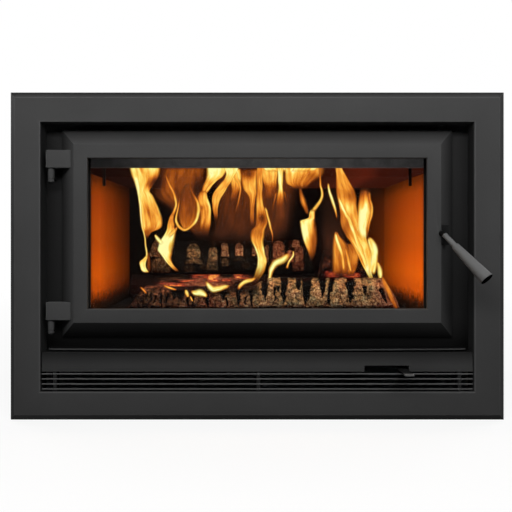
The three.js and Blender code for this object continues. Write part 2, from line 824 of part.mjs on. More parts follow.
function makeHandle() {
  const [x, z] = spindle();
  const direction = handleDirection();
  const tongueBack = frontPlateY - tonguePlateGap;
  const tongueFront = tongueBack - tongueThickness;
  const elbow = new THREE.Vector3(x, doorFront - rodRootDepth, z);
  const inner = new THREE.Vector3(x, tongueFront - fit, z);
  const bendStart = elbow.clone().addScaledVector(unitY, rodBend);
  const bendEnd = elbow.clone().addScaledVector(direction, rodBend);
  const tip = elbow.clone().addScaledVector(direction, rodLength);
  const path = new THREE.CurvePath();
  path.add(new THREE.LineCurve3(inner, bendStart));
  path.add(new THREE.QuadraticBezierCurve3(bendStart, elbow, bendEnd));
  path.add(new THREE.LineCurve3(bendEnd, tip));
  const section = new THREE.Shape();
  section.absarc(0, 0, rodRadius, 0, Math.PI * 2, false);
  const rod = new THREE.ExtrudeGeometry(section, {
    extrudePath: path, steps: rodSteps, curveSegments: rodSides, bevelEnabled: false,
  });
  const studEnd = tongueBack + fit + nutThickness;
  const stud = roundBar(tongueBoreRadius - fit, unitY, [x, (inner.y + studEnd) / 2 - overrun / 2, z],
    studEnd - inner.y + overrun, rodSides);
  add('handle_rod', join(facingOut(rod), stud), charcoalPaint);

  const boreRadius = rodRadius + fit;
  const end = gripLength - gripRound;
  const grip = new THREE.LatheGeometry([
    [0, gripBoreDepth], [boreRadius, gripBoreDepth], [boreRadius, 0], [gripSmallRadius - edgeBreak / 2, 0],
    [gripSmallRadius, edgeBreak], [gripLargeRadius, end],
    [gripLargeRadius - gripRound / 3, gripLength - gripRound / 3],
    [gripLargeRadius - gripRound, gripLength], [0, gripLength],
  ].map(([radius, height]) => new THREE.Vector2(radius, height)), roundSides);
  grip.applyQuaternion(new THREE.Quaternion().setFromUnitVectors(unitY, direction));
  const start = elbow.clone().addScaledVector(direction, gripStart);
  add('handle_grip', facingOut(grip.translate(start.x, start.y, start.z)), charcoalPaint);

  const tongue = new THREE.Shape();
  tongue.moveTo(tongueReach, -tongueHalfWidth);
  tongue.lineTo(tongueReach, tongueHalfWidth);
  const hubAngle = Math.asin(tongueHalfWidth / tongueHubRadius);
  tongue.absarc(0, 0, tongueHubRadius, hubAngle, Math.PI * 2 - hubAngle, false);
  tongue.closePath();
  const bore = new THREE.Path();
  bore.absarc(0, 0, tongueBoreRadius, 0, Math.PI * 2, true);
  tongue.holes.push(bore);
  const blade = new THREE.ExtrudeGeometry(tongue, {
    depth: tongueThickness, bevelEnabled: false, curveSegments: rodSides,
  });
  blade.rotateZ(THREE.MathUtils.degToRad(tongueRestDegrees));
  blade.rotateX(Math.PI / 2);
  add('latch_tongue', blade.translate(x, tongueBack, z), firedSteel);

  const nut = roundBar(nutRadius, unitY, [x, tongueBack + fit + nutThickness / 2, z], nutThickness, nutSides);
  const thread = roundBar(tongueBoreRadius, unitY, [x, studEnd, z], overrun, rodSides);
  add('spindle_nut', cut(nut, thread), firedSteel);

  const lipBack = tongueFront - keeperLipGap;
  const lipFront = lipBack - keeperLipThickness;
  const footBack = frontPlateY - fit;
  const keeper = outline([
    [lipFront, z + keeperLipTop], [lipBack, z + keeperLipTop], [lipBack, z - keeperPostTop],
    [footBack, z - keeperPostTop], [footBack, z - keeperFootDrop],
    [footBack - keeperFootThickness, z - keeperFootDrop],
    [footBack - keeperFootThickness, z - keeperPostTop - keeperPostThickness],
    [lipFront, z - keeperPostTop - keeperPostThickness],
  ]);
  add('latch_keeper', extruded(keeper, 'yz', x + keeperNear, x + keeperFar), firedSteel);

  const clear = fit * bevelLength / doorBevelWidth;
  const crease = glassHalf + doorFlatWidth;
  const far = crease + bossWidth;
  const near = crease + (edgeBreak + clear) / bevelSlope;
  const wedge = outline([
    [near, doorFront], [far - edgeBreak, doorFront], [far, doorFront + edgeBreak], [far, bevelY(far) - clear],
    [near, bevelY(near) - clear],
  ]);
  const bossTop = z + bossRise;
  add('latch_boss', cut(extruded(wedge, 'xy', bossTop - bossHeight, bossTop), spindleHole()), charcoalPaint);
}

// Ledge, lower panel and louvre

function makeLowerFront() {
  const ledgeHalf = openingHalf - ledgeEndInset;
  const ledgeBack = frontPlateY - fit;
  const ends = ledgeFrontInset + ledgeBow;
  const ledge = new THREE.Shape();
  ledge.moveTo(ledgeHalf, ledgeBack);
  ledge.lineTo(-ledgeHalf, ledgeBack);
  ledge.lineTo(-ledgeHalf, ends + ledgeCorner);
  ledge.quadraticCurveTo(-ledgeHalf, ends, -ledgeHalf + ledgeCorner, ends);
  ledge.quadraticCurveTo(0, ledgeFrontInset - ledgeBow, ledgeHalf - ledgeCorner, ends);
  ledge.quadraticCurveTo(ledgeHalf, ends, ledgeHalf, ends + ledgeCorner);
  ledge.closePath();
  const flange = slab([-ledgeHalf, ledgeHalf], [ledgeBack - ledgeThickness, ledgeBack],
    [ledgeBottom - ledgeFlangeDrop, ledgeTop - edgeBreak]);
  add('ash_ledge', join(extruded(ledge, 'xy', ledgeBottom, ledgeTop), flange), charcoalPaint);

  const t = lowerPanelSheet;
  const panelHalf = openingHalf - lowerPanelEndGap;
  const panelFront = lowerPanelInset;
  const topBack = ledgeBack - ledgeThickness - fit;
  const channel = extruded(outline([
    [panelFront, panelBottom], [panelFront + lowerPanelFlange, panelBottom],
    [panelFront + lowerPanelFlange, panelBottom + t], [panelFront + t, panelBottom + t],
    [panelFront + t, panelTop - t], [topBack, panelTop - t], [topBack, panelTop],
    [panelFront, panelTop],
  ]), 'yz', -panelHalf, panelHalf);
  const notch = slab([notchRight - notchWidth, notchRight],
    [panelFront - overrun, panelFront + lowerPanelFlange + overrun],
    [panelBottom - overrun, panelBottom + notchHeight]);
  add('lower_panel', cut(channel, notch), charcoalPaint);

  for (let i = 0; i < louvreBlades; i += 1) {
    add(`louvre_blade_${i + 1}`, louvreBlade(i, 0, panelHalf), charcoalPaint);
  }
  const ribEnd = openingHalf - ribEndInset;
  const ribs = [['left', -ribEnd], ['centre', ribCentreOffset], ['right', ribEnd]];
  for (const [word, x] of ribs) {
    const comb = slab([x - ribThickness / 2, x + ribThickness / 2], [ribFrontInset, ribFrontInset + ribDepth],
      [openingBottom + fit, panelBottom - fit]);
    const slots = [...Array(louvreBlades).keys()].map((i) => louvreBlade(i, fit, panelHalf));
    add(`louvre_rib_${word}`, cut(comb, ...slots), charcoalPaint);
  }
}

// One blade of the louvre, grown all round by a clearance when it cuts its slots
function louvreBlade(index, grow, half) {
  const blade = slab([-half, half], [-grow - (grow && overrun), bladeDepth + grow],
    [-bladeThickness / 2 - grow, bladeThickness / 2 + grow]);
  blade.rotateX(-THREE.MathUtils.degToRad(bladeTiltDegrees));
  const middle = panelBottom - louvreTopDrop - bladeThickness / 2 - index * louvrePitch;
  return blade.translate(0, bladeFrontInset, middle);
}

// Air slide and its box

function slideRight() {
  return notchRight - leverEdgeGap;
}

function airBoxRight() {
  return slideRight() + airBoxEndRoom;
}

function makeAirControl() {
  const boxFront = shellFront + airBoxSetback;
  const slideFront = boxFront + airBoxSheet + fit;
  const slideBack = slideFront + slideDepth;
  const boxBack = slideBack + fit + airBoxSheet;
  const slideBottom = panelBottom + slidePanelRise;
  const slideTop = slideBottom + slideThickness;
  const right = slideRight();
  const left = right - slideWidth;
  const leverLeft = right - leverWidth;
  const leverTip = lowerPanelInset - leverReach;

  const plate = outline([
    [leverLeft, leverTip], [right, leverTip], [right, slideBack], [left, slideBack], [left, slideFront],
    [leverLeft, slideFront],
  ]);
  const portGap = (slideWidth - slidePortWidth - slidePortWidth) / 3;
  const portFront = slideFront + (slideDepth - slidePortDepth) / 2;
  const portStarts = [left + portGap, right - portGap - slidePortWidth];
  const ports = (from, to) => portStarts.map((start) => slab([start, start + slidePortWidth],
    [portFront, portFront + slidePortDepth], [from - fit, to + fit]));
  const blank = extruded(plate, 'xy', slideBottom, slideTop);
  add('air_slide', cut(blank, ...ports(slideBottom, slideTop)), charcoalPaint);

  const s = airBoxSheet;
  const lipTop = slideBottom - fit;
  const valveBottom = slideTop + fit;
  const boxTop = shellBottom - fit;
  const section = outline([
    [boxFront, lipTop - s], [boxFront + s + airBoxLip, lipTop - s], [boxFront + s + airBoxLip, lipTop],
    [boxFront + s, lipTop], [boxFront + s, valveBottom], [boxBack - s, valveBottom], [boxBack - s, lipTop],
    [boxBack - s - airBoxLip, lipTop], [boxBack - s - airBoxLip, lipTop - s], [boxBack, lipTop - s],
    [boxBack, boxTop], [boxBack - s, boxTop], [boxBack - s, valveBottom + s], [boxFront + s, valveBottom + s],
    [boxFront + s, boxTop], [boxFront, boxTop],
  ]);
  const boxRight = airBoxRight();
  const boxLeft = left - slideTravel - airBoxEndRoom;
  const leverSlot = slab([leverLeft - slideTravel - leverEdgeGap, right + leverEdgeGap],
    [boxFront - overrun, boxFront + s + fit], [slideBottom - fit, slideTop + fit]);
  const box = extruded(section, 'yz', boxLeft, boxRight);
  add('air_box', cut(box, ...ports(valveBottom, valveBottom + s), leverSlot), firedSteel);
}

// Logs and embers

// A split log: rings of bark along a straight core, with its right end cut on the slant
function logSolid({ left, right, y, z, radius, phase, slant }, grow = 0) {
  const ringAt = (share) => [...Array(logSides).keys()].map((side) => {
    const angle = side / logSides * Math.PI * 2;
    const bark = 1 + barkShares.reduce((sum, [depthShare, turns, waves], i) => (
      sum + depthShare * Math.sin(turns * angle + waves * share * Math.PI + phase * (i + 1))), 0);
    const endShare = 1 - logTaperShare * (2 * share - 1) ** 4;
    const r = radius * bark * endShare + grow;
    const along = left - grow + (right - left + grow * 2) * share - slant * share * Math.sin(angle);
    return [along, y + r * Math.cos(angle), z + r * Math.sin(angle)];
  });
  const rings = [...Array(logRings + 1).keys()].map((i) => ringAt(i / logRings));
  const quads = [];
  for (let i = 0; i < logRings; i += 1) {
    for (let side = 0; side < logSides; side += 1) {
      const turn = (side + 1) % logSides;
      quads.push([rings[i][side], rings[i][turn], rings[i + 1][turn], rings[i + 1][side]]);
    }
  }
  const triangles = quads.flatMap(([a, b, c, d]) => [[a, b, c], [a, c, d]]);
  const middle = (ring) => [0, 1, 2].map((k) => ring.reduce((sum, point) => sum + point[k], 0) / ring.length);
  const [first, last] = [rings[0], rings[logRings]];
  for (let side = 0; side < logSides; side += 1) {
    const turn = (side + 1) % logSides;
    triangles.push([first[turn], first[side], middle(first)]);
    triangles.push([last[side], last[turn], middle(last)]);
  }
  const geometry = new THREE.BufferGeometry();
  geometry.setAttribute('position', new THREE.Float32BufferAttribute(triangles.flat(2), 3));
  return facingOut(geometry);
}

function makeFire() {
  const seat = hearthTop + logSeat;
  const rearLogY = brickBackFace - rearLogBackRoom;
  const front = {
    left: frontLogLeftRoom - brickFace, right: brickFace - frontLogRightRoom,
    y: rearLogY - frontLogAdvance, z: seat + frontLogRadius,
    radius: frontLogRadius, phase: 1, slant: logEndSlant,
  };
  const rear = {
    left: rearLogEndRoom - brickFace, right: brickFace - rearLogEndRoom,
    y: rearLogY, z: seat + rearLogRadius,
    radius: rearLogRadius, phase: 2, slant: 0,
  };
  const rearTop = rear.z + rearLogRadius;
  const rightLogRight = brickFace - rightLogRightRoom;
  const rightLogLeft = rightLogRight - rightLogLength;
  const upper = {
    left: upperLogLeftRoom - brickFace, right: rightLogLeft - upperLogsGap,
    y: rearLogY - upperLogAdvance, z: rearTop + upperLogRadius - logSeat / 2,
    radius: upperLogRadius, phase: 3, slant: -logEndSlant / 2,
  };
  const right = {
    left: rightLogLeft, right: rightLogRight,
    y: rearLogY - rightLogAdvance, z: rearTop + rightLogRadius - rightLogSink,
    radius: rightLogRadius, phase: 5, slant: logEndSlant / 2,
  };
  add('front_log', logSolid(front), charredWood);
  add('rear_log', logSolid(rear), charredWood);
  add('upper_log', cut(logSolid(upper), logSolid(rear, logClearance)), charredWood);
  const underRight = [logSolid(rear, logClearance), logSolid(front, logClearance)];
  add('right_log', cut(logSolid(right), ...underRight), charredWood);

  const bed = emberBed();
  add('ember_bed', cut(bed, logSolid(front, logClearance), logSolid(rear, logClearance)), glowingEmber);
}

// A low heap of embers: humps over an oblong, thin at its edges and flat underneath
function emberBed() {
  const bottom = hearthTop + fit;
  const y0 = brickBackFace - rearLogBackRoom - frontLogAdvance - emberFrontReach;
  const emberDepth = brickBackFace - emberBackRoom - y0;
  const emberHalfWidth = brickFace - emberEndRoom;
  const top = (i, j) => {
    const [u, v] = [i / emberColumns, j / emberRows];
    const dome = Math.sin(Math.PI * u) ** 0.5 * Math.sin(Math.PI * v) ** 0.5;
    const humps = emberShares.reduce((sum, [share, across, deep]) => (
      sum + share * Math.sin(across * Math.PI * u * 2) * Math.cos(deep * Math.PI * v * 2)), 1);
    const height = emberEdge + emberHeight * dome * humps;
    return [emberHalfWidth * (2 * u - 1), y0 + emberDepth * v, bottom + height];
  };
  const under = (i, j) => {
    const [x, y] = top(i, j);
    return [x, y, bottom];
  };
  const quads = [];
  for (let i = 0; i < emberColumns; i += 1) {
    for (let j = 0; j < emberRows; j += 1) {
      quads.push([top(i, j), top(i + 1, j), top(i + 1, j + 1), top(i, j + 1)]);
      quads.push([under(i, j), under(i, j + 1), under(i + 1, j + 1), under(i + 1, j)]);
    }
    quads.push([under(i, 0), under(i + 1, 0), top(i + 1, 0), top(i, 0)]);
    quads.push([top(i, emberRows), top(i + 1, emberRows), under(i + 1, emberRows), under(i, emberRows)]);
  }
  const end = emberColumns;
  for (let j = 0; j < emberRows; j += 1) {
    quads.push([top(0, j), top(0, j + 1), under(0, j + 1), under(0, j)]);
    quads.push([under(end, j), under(end, j + 1), top(end, j + 1), top(end, j)]);
  }
  return fromQuads(quads);
}

makeFascia();
makeCasing();
makeFirebox();
makeLining();
makeDoor();
makeHinges();
makeHandle();
makeLowerFront();
makeAirControl();
makeFire();

// The origin is the middle of the base of the whole object.
const bounds = new THREE.Box3().setFromObject(fireplace, true);
const centre = bounds.getCenter(new THREE.Vector3());
fireplace.position.set(-centre.x, -centre.y, -bounds.min.z);
fireplace.updateMatrixWorld(true);

export default fireplace;
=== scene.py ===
# %% [markdown]
# An inbuilt wood fire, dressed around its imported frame. The frame is the construction: every sheet, hinge
# and brick is where it belongs and at its real size. This lesson gives those pieces their finish, rounds
# the edges that a camera would catch, and adds what only Blender can make: bark, embers and flames.

# %% Load the frame
import json
import math

import bmesh
import bpy
import numpy as np
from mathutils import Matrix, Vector

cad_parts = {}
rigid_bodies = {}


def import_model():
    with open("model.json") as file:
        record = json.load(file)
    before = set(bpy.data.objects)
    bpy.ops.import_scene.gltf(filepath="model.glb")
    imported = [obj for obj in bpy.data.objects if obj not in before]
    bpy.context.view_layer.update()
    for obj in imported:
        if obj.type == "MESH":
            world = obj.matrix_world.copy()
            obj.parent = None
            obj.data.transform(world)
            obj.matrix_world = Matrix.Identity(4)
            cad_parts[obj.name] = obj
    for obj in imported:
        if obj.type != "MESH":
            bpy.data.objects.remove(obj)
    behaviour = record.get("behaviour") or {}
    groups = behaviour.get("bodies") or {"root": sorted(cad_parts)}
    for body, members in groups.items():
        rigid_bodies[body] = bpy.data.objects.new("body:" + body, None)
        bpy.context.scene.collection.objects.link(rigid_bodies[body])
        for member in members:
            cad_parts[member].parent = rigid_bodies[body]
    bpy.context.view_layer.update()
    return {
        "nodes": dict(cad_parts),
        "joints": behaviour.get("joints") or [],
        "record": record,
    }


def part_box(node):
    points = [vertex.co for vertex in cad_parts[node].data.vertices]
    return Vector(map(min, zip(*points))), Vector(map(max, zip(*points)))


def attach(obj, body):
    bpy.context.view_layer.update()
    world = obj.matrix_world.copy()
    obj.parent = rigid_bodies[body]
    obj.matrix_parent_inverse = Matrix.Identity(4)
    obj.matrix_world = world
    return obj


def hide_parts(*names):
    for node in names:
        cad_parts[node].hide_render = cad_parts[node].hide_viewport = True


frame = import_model()
MM = 0.001

# %% [markdown]
# All places are measured the way a fitter would: millimetres to the right of the middle, behind the face of
# the fascia, and above the floor. The frame says where that face is, so nothing here has to be fitted
# afterwards.

# %% Places
face_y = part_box("fascia_frame")[0].y


def metres(x, y, z):
    """Millimetres right of the middle, behind the fascia's face and above the floor, as metres in the
    frame."""
    return np.stack(np.broadcast_arrays(x * MM, face_y + y * MM, z * MM), axis=-1).astype(float)


def sizes(node):
    """A node's lowest and highest corner, in the fitter's millimetres."""
    low, high = (np.array(corner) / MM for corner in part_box(node))
    shift = np.array([0, face_y / MM, 0])
    return low - shift, high - shift


print("The fascia spans", *sizes("fascia_frame"))

# %% [markdown]
# The camera stands square in front of the fire, a little above its middle, as in a catalogue picture. Its
# distance follows from how much the firebox walls draw together towards the back. The lens follows from the
# width that one pixel of the picture covers on the fascia, and the shift lowers the frame without tilting
# the uprights.

# %% Camera
FRAME_PIXELS = 512
MIDDLE_PIXEL = 257.25
HORIZON_PIXEL = 235
PIXEL_MM = 1.8642
CAMERA_DISTANCE = 1150
CAMERA_HEIGHT = 347.9
SENSOR_MM = 36

camera = bpy.data.objects.new("camera", bpy.data.cameras.new("camera"))
bpy.context.scene.collection.objects.link(camera)
camera.location = metres((FRAME_PIXELS / 2 - MIDDLE_PIXEL) * PIXEL_MM, -CAMERA_DISTANCE, CAMERA_HEIGHT)
camera.rotation_euler = (math.radians(90), 0, 0)
camera.data.sensor_width = SENSOR_MM
camera.data.lens = SENSOR_MM / FRAME_PIXELS * CAMERA_DISTANCE / PIXEL_MM
camera.data.shift_y = (HORIZON_PIXEL - FRAME_PIXELS / 2) / FRAME_PIXELS
bpy.context.scene.camera = camera
print("Lens", round(camera.data.lens, 2), "mm")


def behind_pixel(px, py, depth):
    """The point at a depth behind the fascia's face that the picture shows at a pixel: the pixel's offset
    from the horizon and the middle, times the millimetres that a pixel covers at that depth."""
    spread = PIXEL_MM * (CAMERA_DISTANCE + depth) / CAMERA_DISTANCE
    return metres((px - MIDDLE_PIXEL) * spread, depth, CAMERA_HEIGHT + (HORIZON_PIXEL - py) * spread)


def seen_at(x, y, z):
    """The pixel at which the picture shows a place: the same rule the other way round."""
    spread = PIXEL_MM * (CAMERA_DISTANCE + y) / CAMERA_DISTANCE
    return MIDDLE_PIXEL + x / spread, HORIZON_PIXEL - (z - CAMERA_HEIGHT) / spread


# %% [markdown]
# Materials are built from nodes. One function turns the hex colours of a paint card into the linear numbers
# that a renderer adds up, one adds a node with its settings and links, one starts a material, and one lets
# nodes drive its shader. A noise rarely leaves the middle of its range, so that part of it is stretched
# over the values that a finish needs.

# %% Material helpers
NOISE_LOW = 0.3
NOISE_HIGH = 0.7


def linear(hex_colour, alpha=1.0):
    """An sRGB hex colour as linear red, green, blue and alpha: each share over 12.92 at the foot of the
    curve, and a power of 2.4 above it."""
    shares = [int(hex_colour[i:i + 2], 16) / 255 for i in (1, 3, 5)]
    return tuple(s / 12.92 if s <= 0.04045 else ((s + 0.055) / 1.055) ** 2.4 for s in shares) + (alpha,)


def first_output(value):
    """A node stands for its first output, and anything else for itself."""
    return value.outputs[0] if isinstance(value, bpy.types.Node) else value


def add_node(tree, kind, sockets=(), stops=None, **settings):
    """Adds a node. sockets gives each input a value, or links it where the value is another node or its
    output."""
    made = tree.nodes.new(kind)
    for name, value in settings.items():
        setattr(made, name, value)
    for socket, value in dict(sockets).items():
        value = first_output(value)
        if isinstance(value, bpy.types.NodeSocket):
            tree.links.new(value, made.inputs[socket])
        else:
            made.inputs[socket].default_value = value
    for i, (place, colour) in enumerate(stops or ()):
        stop = made.color_ramp.elements[i] if i < 2 else made.color_ramp.elements.new(place)
        stop.position = place
        stop.color = linear(colour) if isinstance(colour, str) else (colour, colour, colour, 1)
    return made


def new_material(name, **values):
    """A material with one Principled BSDF, whose plain values are set on its sockets."""
    material = bpy.data.materials.new(name)
    material.use_nodes = True
    tree = material.node_tree
    shader = tree.nodes["Principled BSDF"]
    for socket, value in values.items():
        shader.inputs[socket.replace("_", " ")].default_value = value
    return material, tree, shader


def drive(shader, **sockets):
    """Lets nodes, or their outputs, drive the shader's sockets of these names."""
    for name, value in sockets.items():
        shader.id_data.links.new(first_output(value), shader.inputs[name.replace("_", " ")])


print("Half grey on the card is", round(linear("#808080")[0], 3), "of full light")

# %% [markdown]
# The room is a pale floor and a white background. Camera, glossy and transmission rays see it white, so
# that glass and paint show it too, while the light that falls on the fire comes from a wide soft lamp above
# the camera, as from a high window behind the viewer. That leaves every face that looks down nearly black,
# which is what gives the frame its form. Behind the fire the room is brighter, so the casing is readable
# when the view goes round.

# %% Room
AMBIENT_FRONT = 0.025
AMBIENT_BACK = 0.42
FULLY_BEHIND = 0.8


def shows_white(tree):
    """1 for the rays that show the background: camera, glossy and transmission rays."""
    ray = add_node(tree, "ShaderNodeLightPath").outputs
    seen = ray["Is Camera Ray"]
    for kind in ("Is Glossy Ray", "Is Transmission Ray"):
        seen = add_node(tree, "ShaderNodeMath", {0: seen, 1: ray[kind]}, operation="MAXIMUM")
    return seen


world = bpy.data.worlds.new("pale_room")
bpy.context.scene.world = world
world.use_nodes = True
room = world.node_tree
outward = add_node(room, "ShaderNodeTexCoord").outputs["Generated"]
direction = add_node(room, "ShaderNodeSeparateXYZ", {0: outward})
ambient = add_node(room, "ShaderNodeMapRange",
                   {0: direction.outputs[1], 1: 0.0, 2: FULLY_BEHIND, 3: AMBIENT_FRONT, 4: AMBIENT_BACK})
level = add_node(room, "ShaderNodeMix", {0: shows_white(room), 2: ambient, 3: 1.0})
room.links.new(level.outputs[0], room.nodes["Background"].inputs["Strength"])
room.nodes["Background"].inputs["Color"].default_value = (1, 1, 1, 1)
print("Ambient light from", AMBIENT_FRONT, "in front to", AMBIENT_BACK, "behind")

# %% [markdown]
# The floor is painted pale, but it throws hardly any light up: the fire stands in a wall, where the only
# floor is the hearth below the viewer. Its shadow is kept close to the object and fades out with distance
# into the white.

# %% Floor
FLOOR_SIZE = 16000
SHADOW_SHARE = 0.15
SHADOW_NEAR = 650
SHADOW_FAR = 2600
PALE_FLOOR = "#ececec"
FLOOR_BOUNCE = "#1c1c1c"
floor_paint, tree, shader = new_material("pale_floor", Roughness=0.9, Specular_IOR_Level=0.1)
bounce = add_node(tree, "ShaderNodeLightPath").outputs["Is Diffuse Ray"]
pale = add_node(tree, "ShaderNodeMix", {0: bounce, 6: linear(PALE_FLOOR), 7: linear(FLOOR_BOUNCE)},
                data_type="RGBA")
drive(shader, Base_Color=pale.outputs[2])
white = add_node(tree, "ShaderNodeEmission", {"Color": (1, 1, 1, 1), "Strength": 1.0})
place = add_node(tree, "ShaderNodeTexCoord").outputs["Object"]
reach = add_node(tree, "ShaderNodeVectorMath", {0: place}, operation="LENGTH")
near = add_node(tree, "ShaderNodeMapRange", {0: reach.outputs[1], 1: SHADOW_NEAR * MM, 2: SHADOW_FAR * MM,
                                             3: 1 - SHADOW_SHARE, 4: 1.0})
share = add_node(tree, "ShaderNodeMath", {0: shows_white(tree), 1: near}, operation="MULTIPLY")
mixed = add_node(tree, "ShaderNodeMixShader", {0: share, 1: shader, 2: white})
tree.links.new(mixed.outputs[0], tree.nodes["Material Output"].inputs["Surface"])
corners = metres(np.array([-1, 1, 1, -1]) * FLOOR_SIZE / 2, np.array([-1, -1, 1, 1]) * FLOOR_SIZE / 2, 0)
floor_mesh = bpy.data.meshes.new("floor")
floor_mesh.from_pydata(corners.tolist(), [], [(0, 1, 2, 3)])
floor_mesh.materials.append(floor_paint)
floor = bpy.data.objects.new("floor", floor_mesh)
bpy.context.scene.collection.objects.link(floor)
print("Floor", FLOOR_SIZE, "mm square")

# %% [markdown]
# Four area lamps light the fire. The key lamp is wide and flat and hangs in front, above the camera, two
# large ones stand behind for the casing, and a small warm one behind the glass is the light of the flames
# on the logs. The picture shows the flames themselves, so that last lamp is hidden from the camera and from
# reflections.

# %% Lamps
KEY_WATTS = 24
BACK_WATTS = 34
FLAME_WATTS = 0.9
FLAME_TINT = (1.0, 0.7, 0.4)
FLAME_MIDDLE = 20


def soft_lamp(name, place, target, width, height, watts):
    """An area lamp, its sides in millimetres, turned to a target with its width level."""
    lamp = bpy.data.objects.new(name, bpy.data.lights.new(name, "AREA"))
    lamp.data.shape = "RECTANGLE"
    lamp.data.size = width * MM
    lamp.data.size_y = height * MM
    lamp.data.energy = watts
    bpy.context.scene.collection.objects.link(lamp)
    lamp.location = metres(*place)
    aim = Vector(metres(*target)) - lamp.location
    lamp.rotation_euler = aim.to_track_quat("-Z", "Y").to_euler()
    return lamp


soft_lamp("key_lamp", place=(0, -1000, 1070), target=(0, 0, 300), width=2200, height=300, watts=KEY_WATTS)
for word, side in (("left", -1), ("right", 1)):
    soft_lamp(f"{word}_back_lamp", place=(side * 2300, 1500, 1700), target=(0, 250, 300), width=1500,
              height=1500, watts=BACK_WATTS)
fire_light = soft_lamp("fire_light", place=(FLAME_MIDDLE, 62, 430), target=(FLAME_MIDDLE, 150, 235),
                       width=520, height=50, watts=FLAME_WATTS)
fire_light.data.color = FLAME_TINT
fire_light.visible_camera = False
fire_light.visible_glossy = False
bpy.context.scene.view_settings.view_transform = "Standard"

# %% [markdown]
# Stove paint is a silicone resin filled with metal pigment, sprayed on and baked by the first fires. It
# dries to a dry charcoal coat with hardly any gloss: a fine orange peel, and clouds where the spray passes
# overlapped. The colour deepens with the depth behind the piece's own face, and with the other fades a
# piece is given: painted shade in recesses and under overhangs. The rounded edges have a lighter coat of
# their own, a painted highlight.

# %% Stove paint
# The gain of the lighter coat on rounded edges: a painted highlight.
EDGE_HIGHLIGHT_GAIN = 1.45
CLOUDINESS = 0.06
PEEL_BUMP = 0.1
LOOKS_UP = (0.3, 0.8)


def sprayed_paint(name, colour, *fades, gain=1.0, cloud_mm=90, peel_mm=1.8, shade_on_top=1.0):
    """Matte paint: two noises shift the colour a little and a fine one gives the orange peel its bump. Each
    fade, (axis, near, far, share), lets the colour fall from one at near to its share at far, in the
    fitter's millimetres: painted shade. On faces that look up the colour keeps only the share given for
    the top: painted shade on upward faces."""
    material, tree, shader = new_material(name, Roughness=0.62, Specular_IOR_Level=0.035)
    place = add_node(tree, "ShaderNodeTexCoord").outputs["Object"]
    cloud = add_node(tree, "ShaderNodeTexNoise", {"Vector": place, "Scale": 1 / (cloud_mm * MM), "Detail": 4})
    speck = add_node(tree, "ShaderNodeTexNoise", {"Vector": place, "Scale": 1 / (peel_mm * MM), "Detail": 2})
    shift = add_node(tree, "ShaderNodeMix", {0: 0.3, 2: cloud, 3: speck})
    level = add_node(tree, "ShaderNodeMapRange",
                     {0: shift, 1: NOISE_LOW, 2: NOISE_HIGH, 3: (1 - CLOUDINESS) * gain,
                      4: (1 + CLOUDINESS) * gain})
    where = add_node(tree, "ShaderNodeSeparateXYZ", {0: place})
    falls = []
    for axis, near, far, left in fades:
        start, stop = metres(near, near, near)[axis], metres(far, far, far)[axis]
        falls.append({0: where.outputs[axis], 1: start, 2: stop, 3: 1.0, 4: left})
    if shade_on_top < 1:
        normal = add_node(tree, "ShaderNodeNewGeometry").outputs["Normal"]
        up = add_node(tree, "ShaderNodeSeparateXYZ", {0: normal}).outputs[2]
        falls.append({0: up, 1: LOOKS_UP[0], 2: LOOKS_UP[1], 3: 1.0, 4: shade_on_top})
    for sockets in falls:
        fall = add_node(tree, "ShaderNodeMapRange", sockets)
        level = add_node(tree, "ShaderNodeMath", {0: level, 1: fall}, operation="MULTIPLY")
    tint = add_node(tree, "ShaderNodeVectorMath", {0: linear(colour)[:3], "Scale": level}, operation="SCALE")
    drive(shader, Base_Color=tint)
    bump = add_node(tree, "ShaderNodeBump",
                    {"Height": speck, "Strength": 0.25, "Distance": PEEL_BUMP * MM})
    drive(shader, Normal=bump)
    return material


CHARCOAL = "#3f3f3f"
BLACK = "#1e1e1e"
charcoal_paint = sprayed_paint("baked_charcoal_stove_paint", CHARCOAL)
black_paint = sprayed_paint("baked_black_stove_paint", BLACK, cloud_mm=60, peel_mm=1.6)
print("Stove paints", CHARCOAL, "and", BLACK)

# %% [markdown]
# Steel that has been in the fire turns nearly black with scale, brown where it has been hottest. The clouds
# of scale are a few centimetres wide, and soot takes away most of its shine.

# %% Fired steel
SCALE_CLOUD = 35
fired_steel, tree, shader = new_material("heat_scaled_mild_steel", Metallic=0.35, Specular_IOR_Level=0.1)
place = add_node(tree, "ShaderNodeTexCoord").outputs["Object"]
clouds = add_node(tree, "ShaderNodeTexNoise", {"Vector": place, "Scale": 1 / (SCALE_CLOUD * MM), "Detail": 6})
colour = add_node(tree, "ShaderNodeValToRGB", {0: clouds}, stops=[(0.35, "#17151a"), (0.62, "#2b2420")])
drive(shader, Base_Color=colour)
rough = add_node(tree, "ShaderNodeMapRange", {0: clouds, 3: 0.55, 4: 0.85})
drive(shader, Roughness=rough)
print("Scale in clouds of", SCALE_CLOUD, "mm")

# %% [markdown]
# The casing is hot-dip galvanised sheet. Zinc freezes in flat crystals, the spangle, about a centimetre
# across, and each one reflects a little differently, which a cell pattern with one grey and one roughness a
# cell gives.

# %% Galvanised sheet
SPANGLE = 11
galvanised, tree, shader = new_material("hot_dip_galvanised_sheet", Metallic=0.85)
place = add_node(tree, "ShaderNodeTexCoord").outputs["Object"]
spangle = add_node(tree, "ShaderNodeTexVoronoi", {"Vector": place, "Scale": 1 / (SPANGLE * MM)})
grey = add_node(tree, "ShaderNodeSeparateColor", {0: spangle.outputs["Color"]})
colour = add_node(tree, "ShaderNodeValToRGB", {0: grey}, stops=[(0, "#93989a"), (1, "#a9adaf")])
drive(shader, Base_Color=colour)
rough = add_node(tree, "ShaderNodeMapRange", {0: grey.outputs[1], 3: 0.38, 4: 0.55})
drive(shader, Roughness=rough)
print("Zinc spangle of", SPANGLE, "mm")

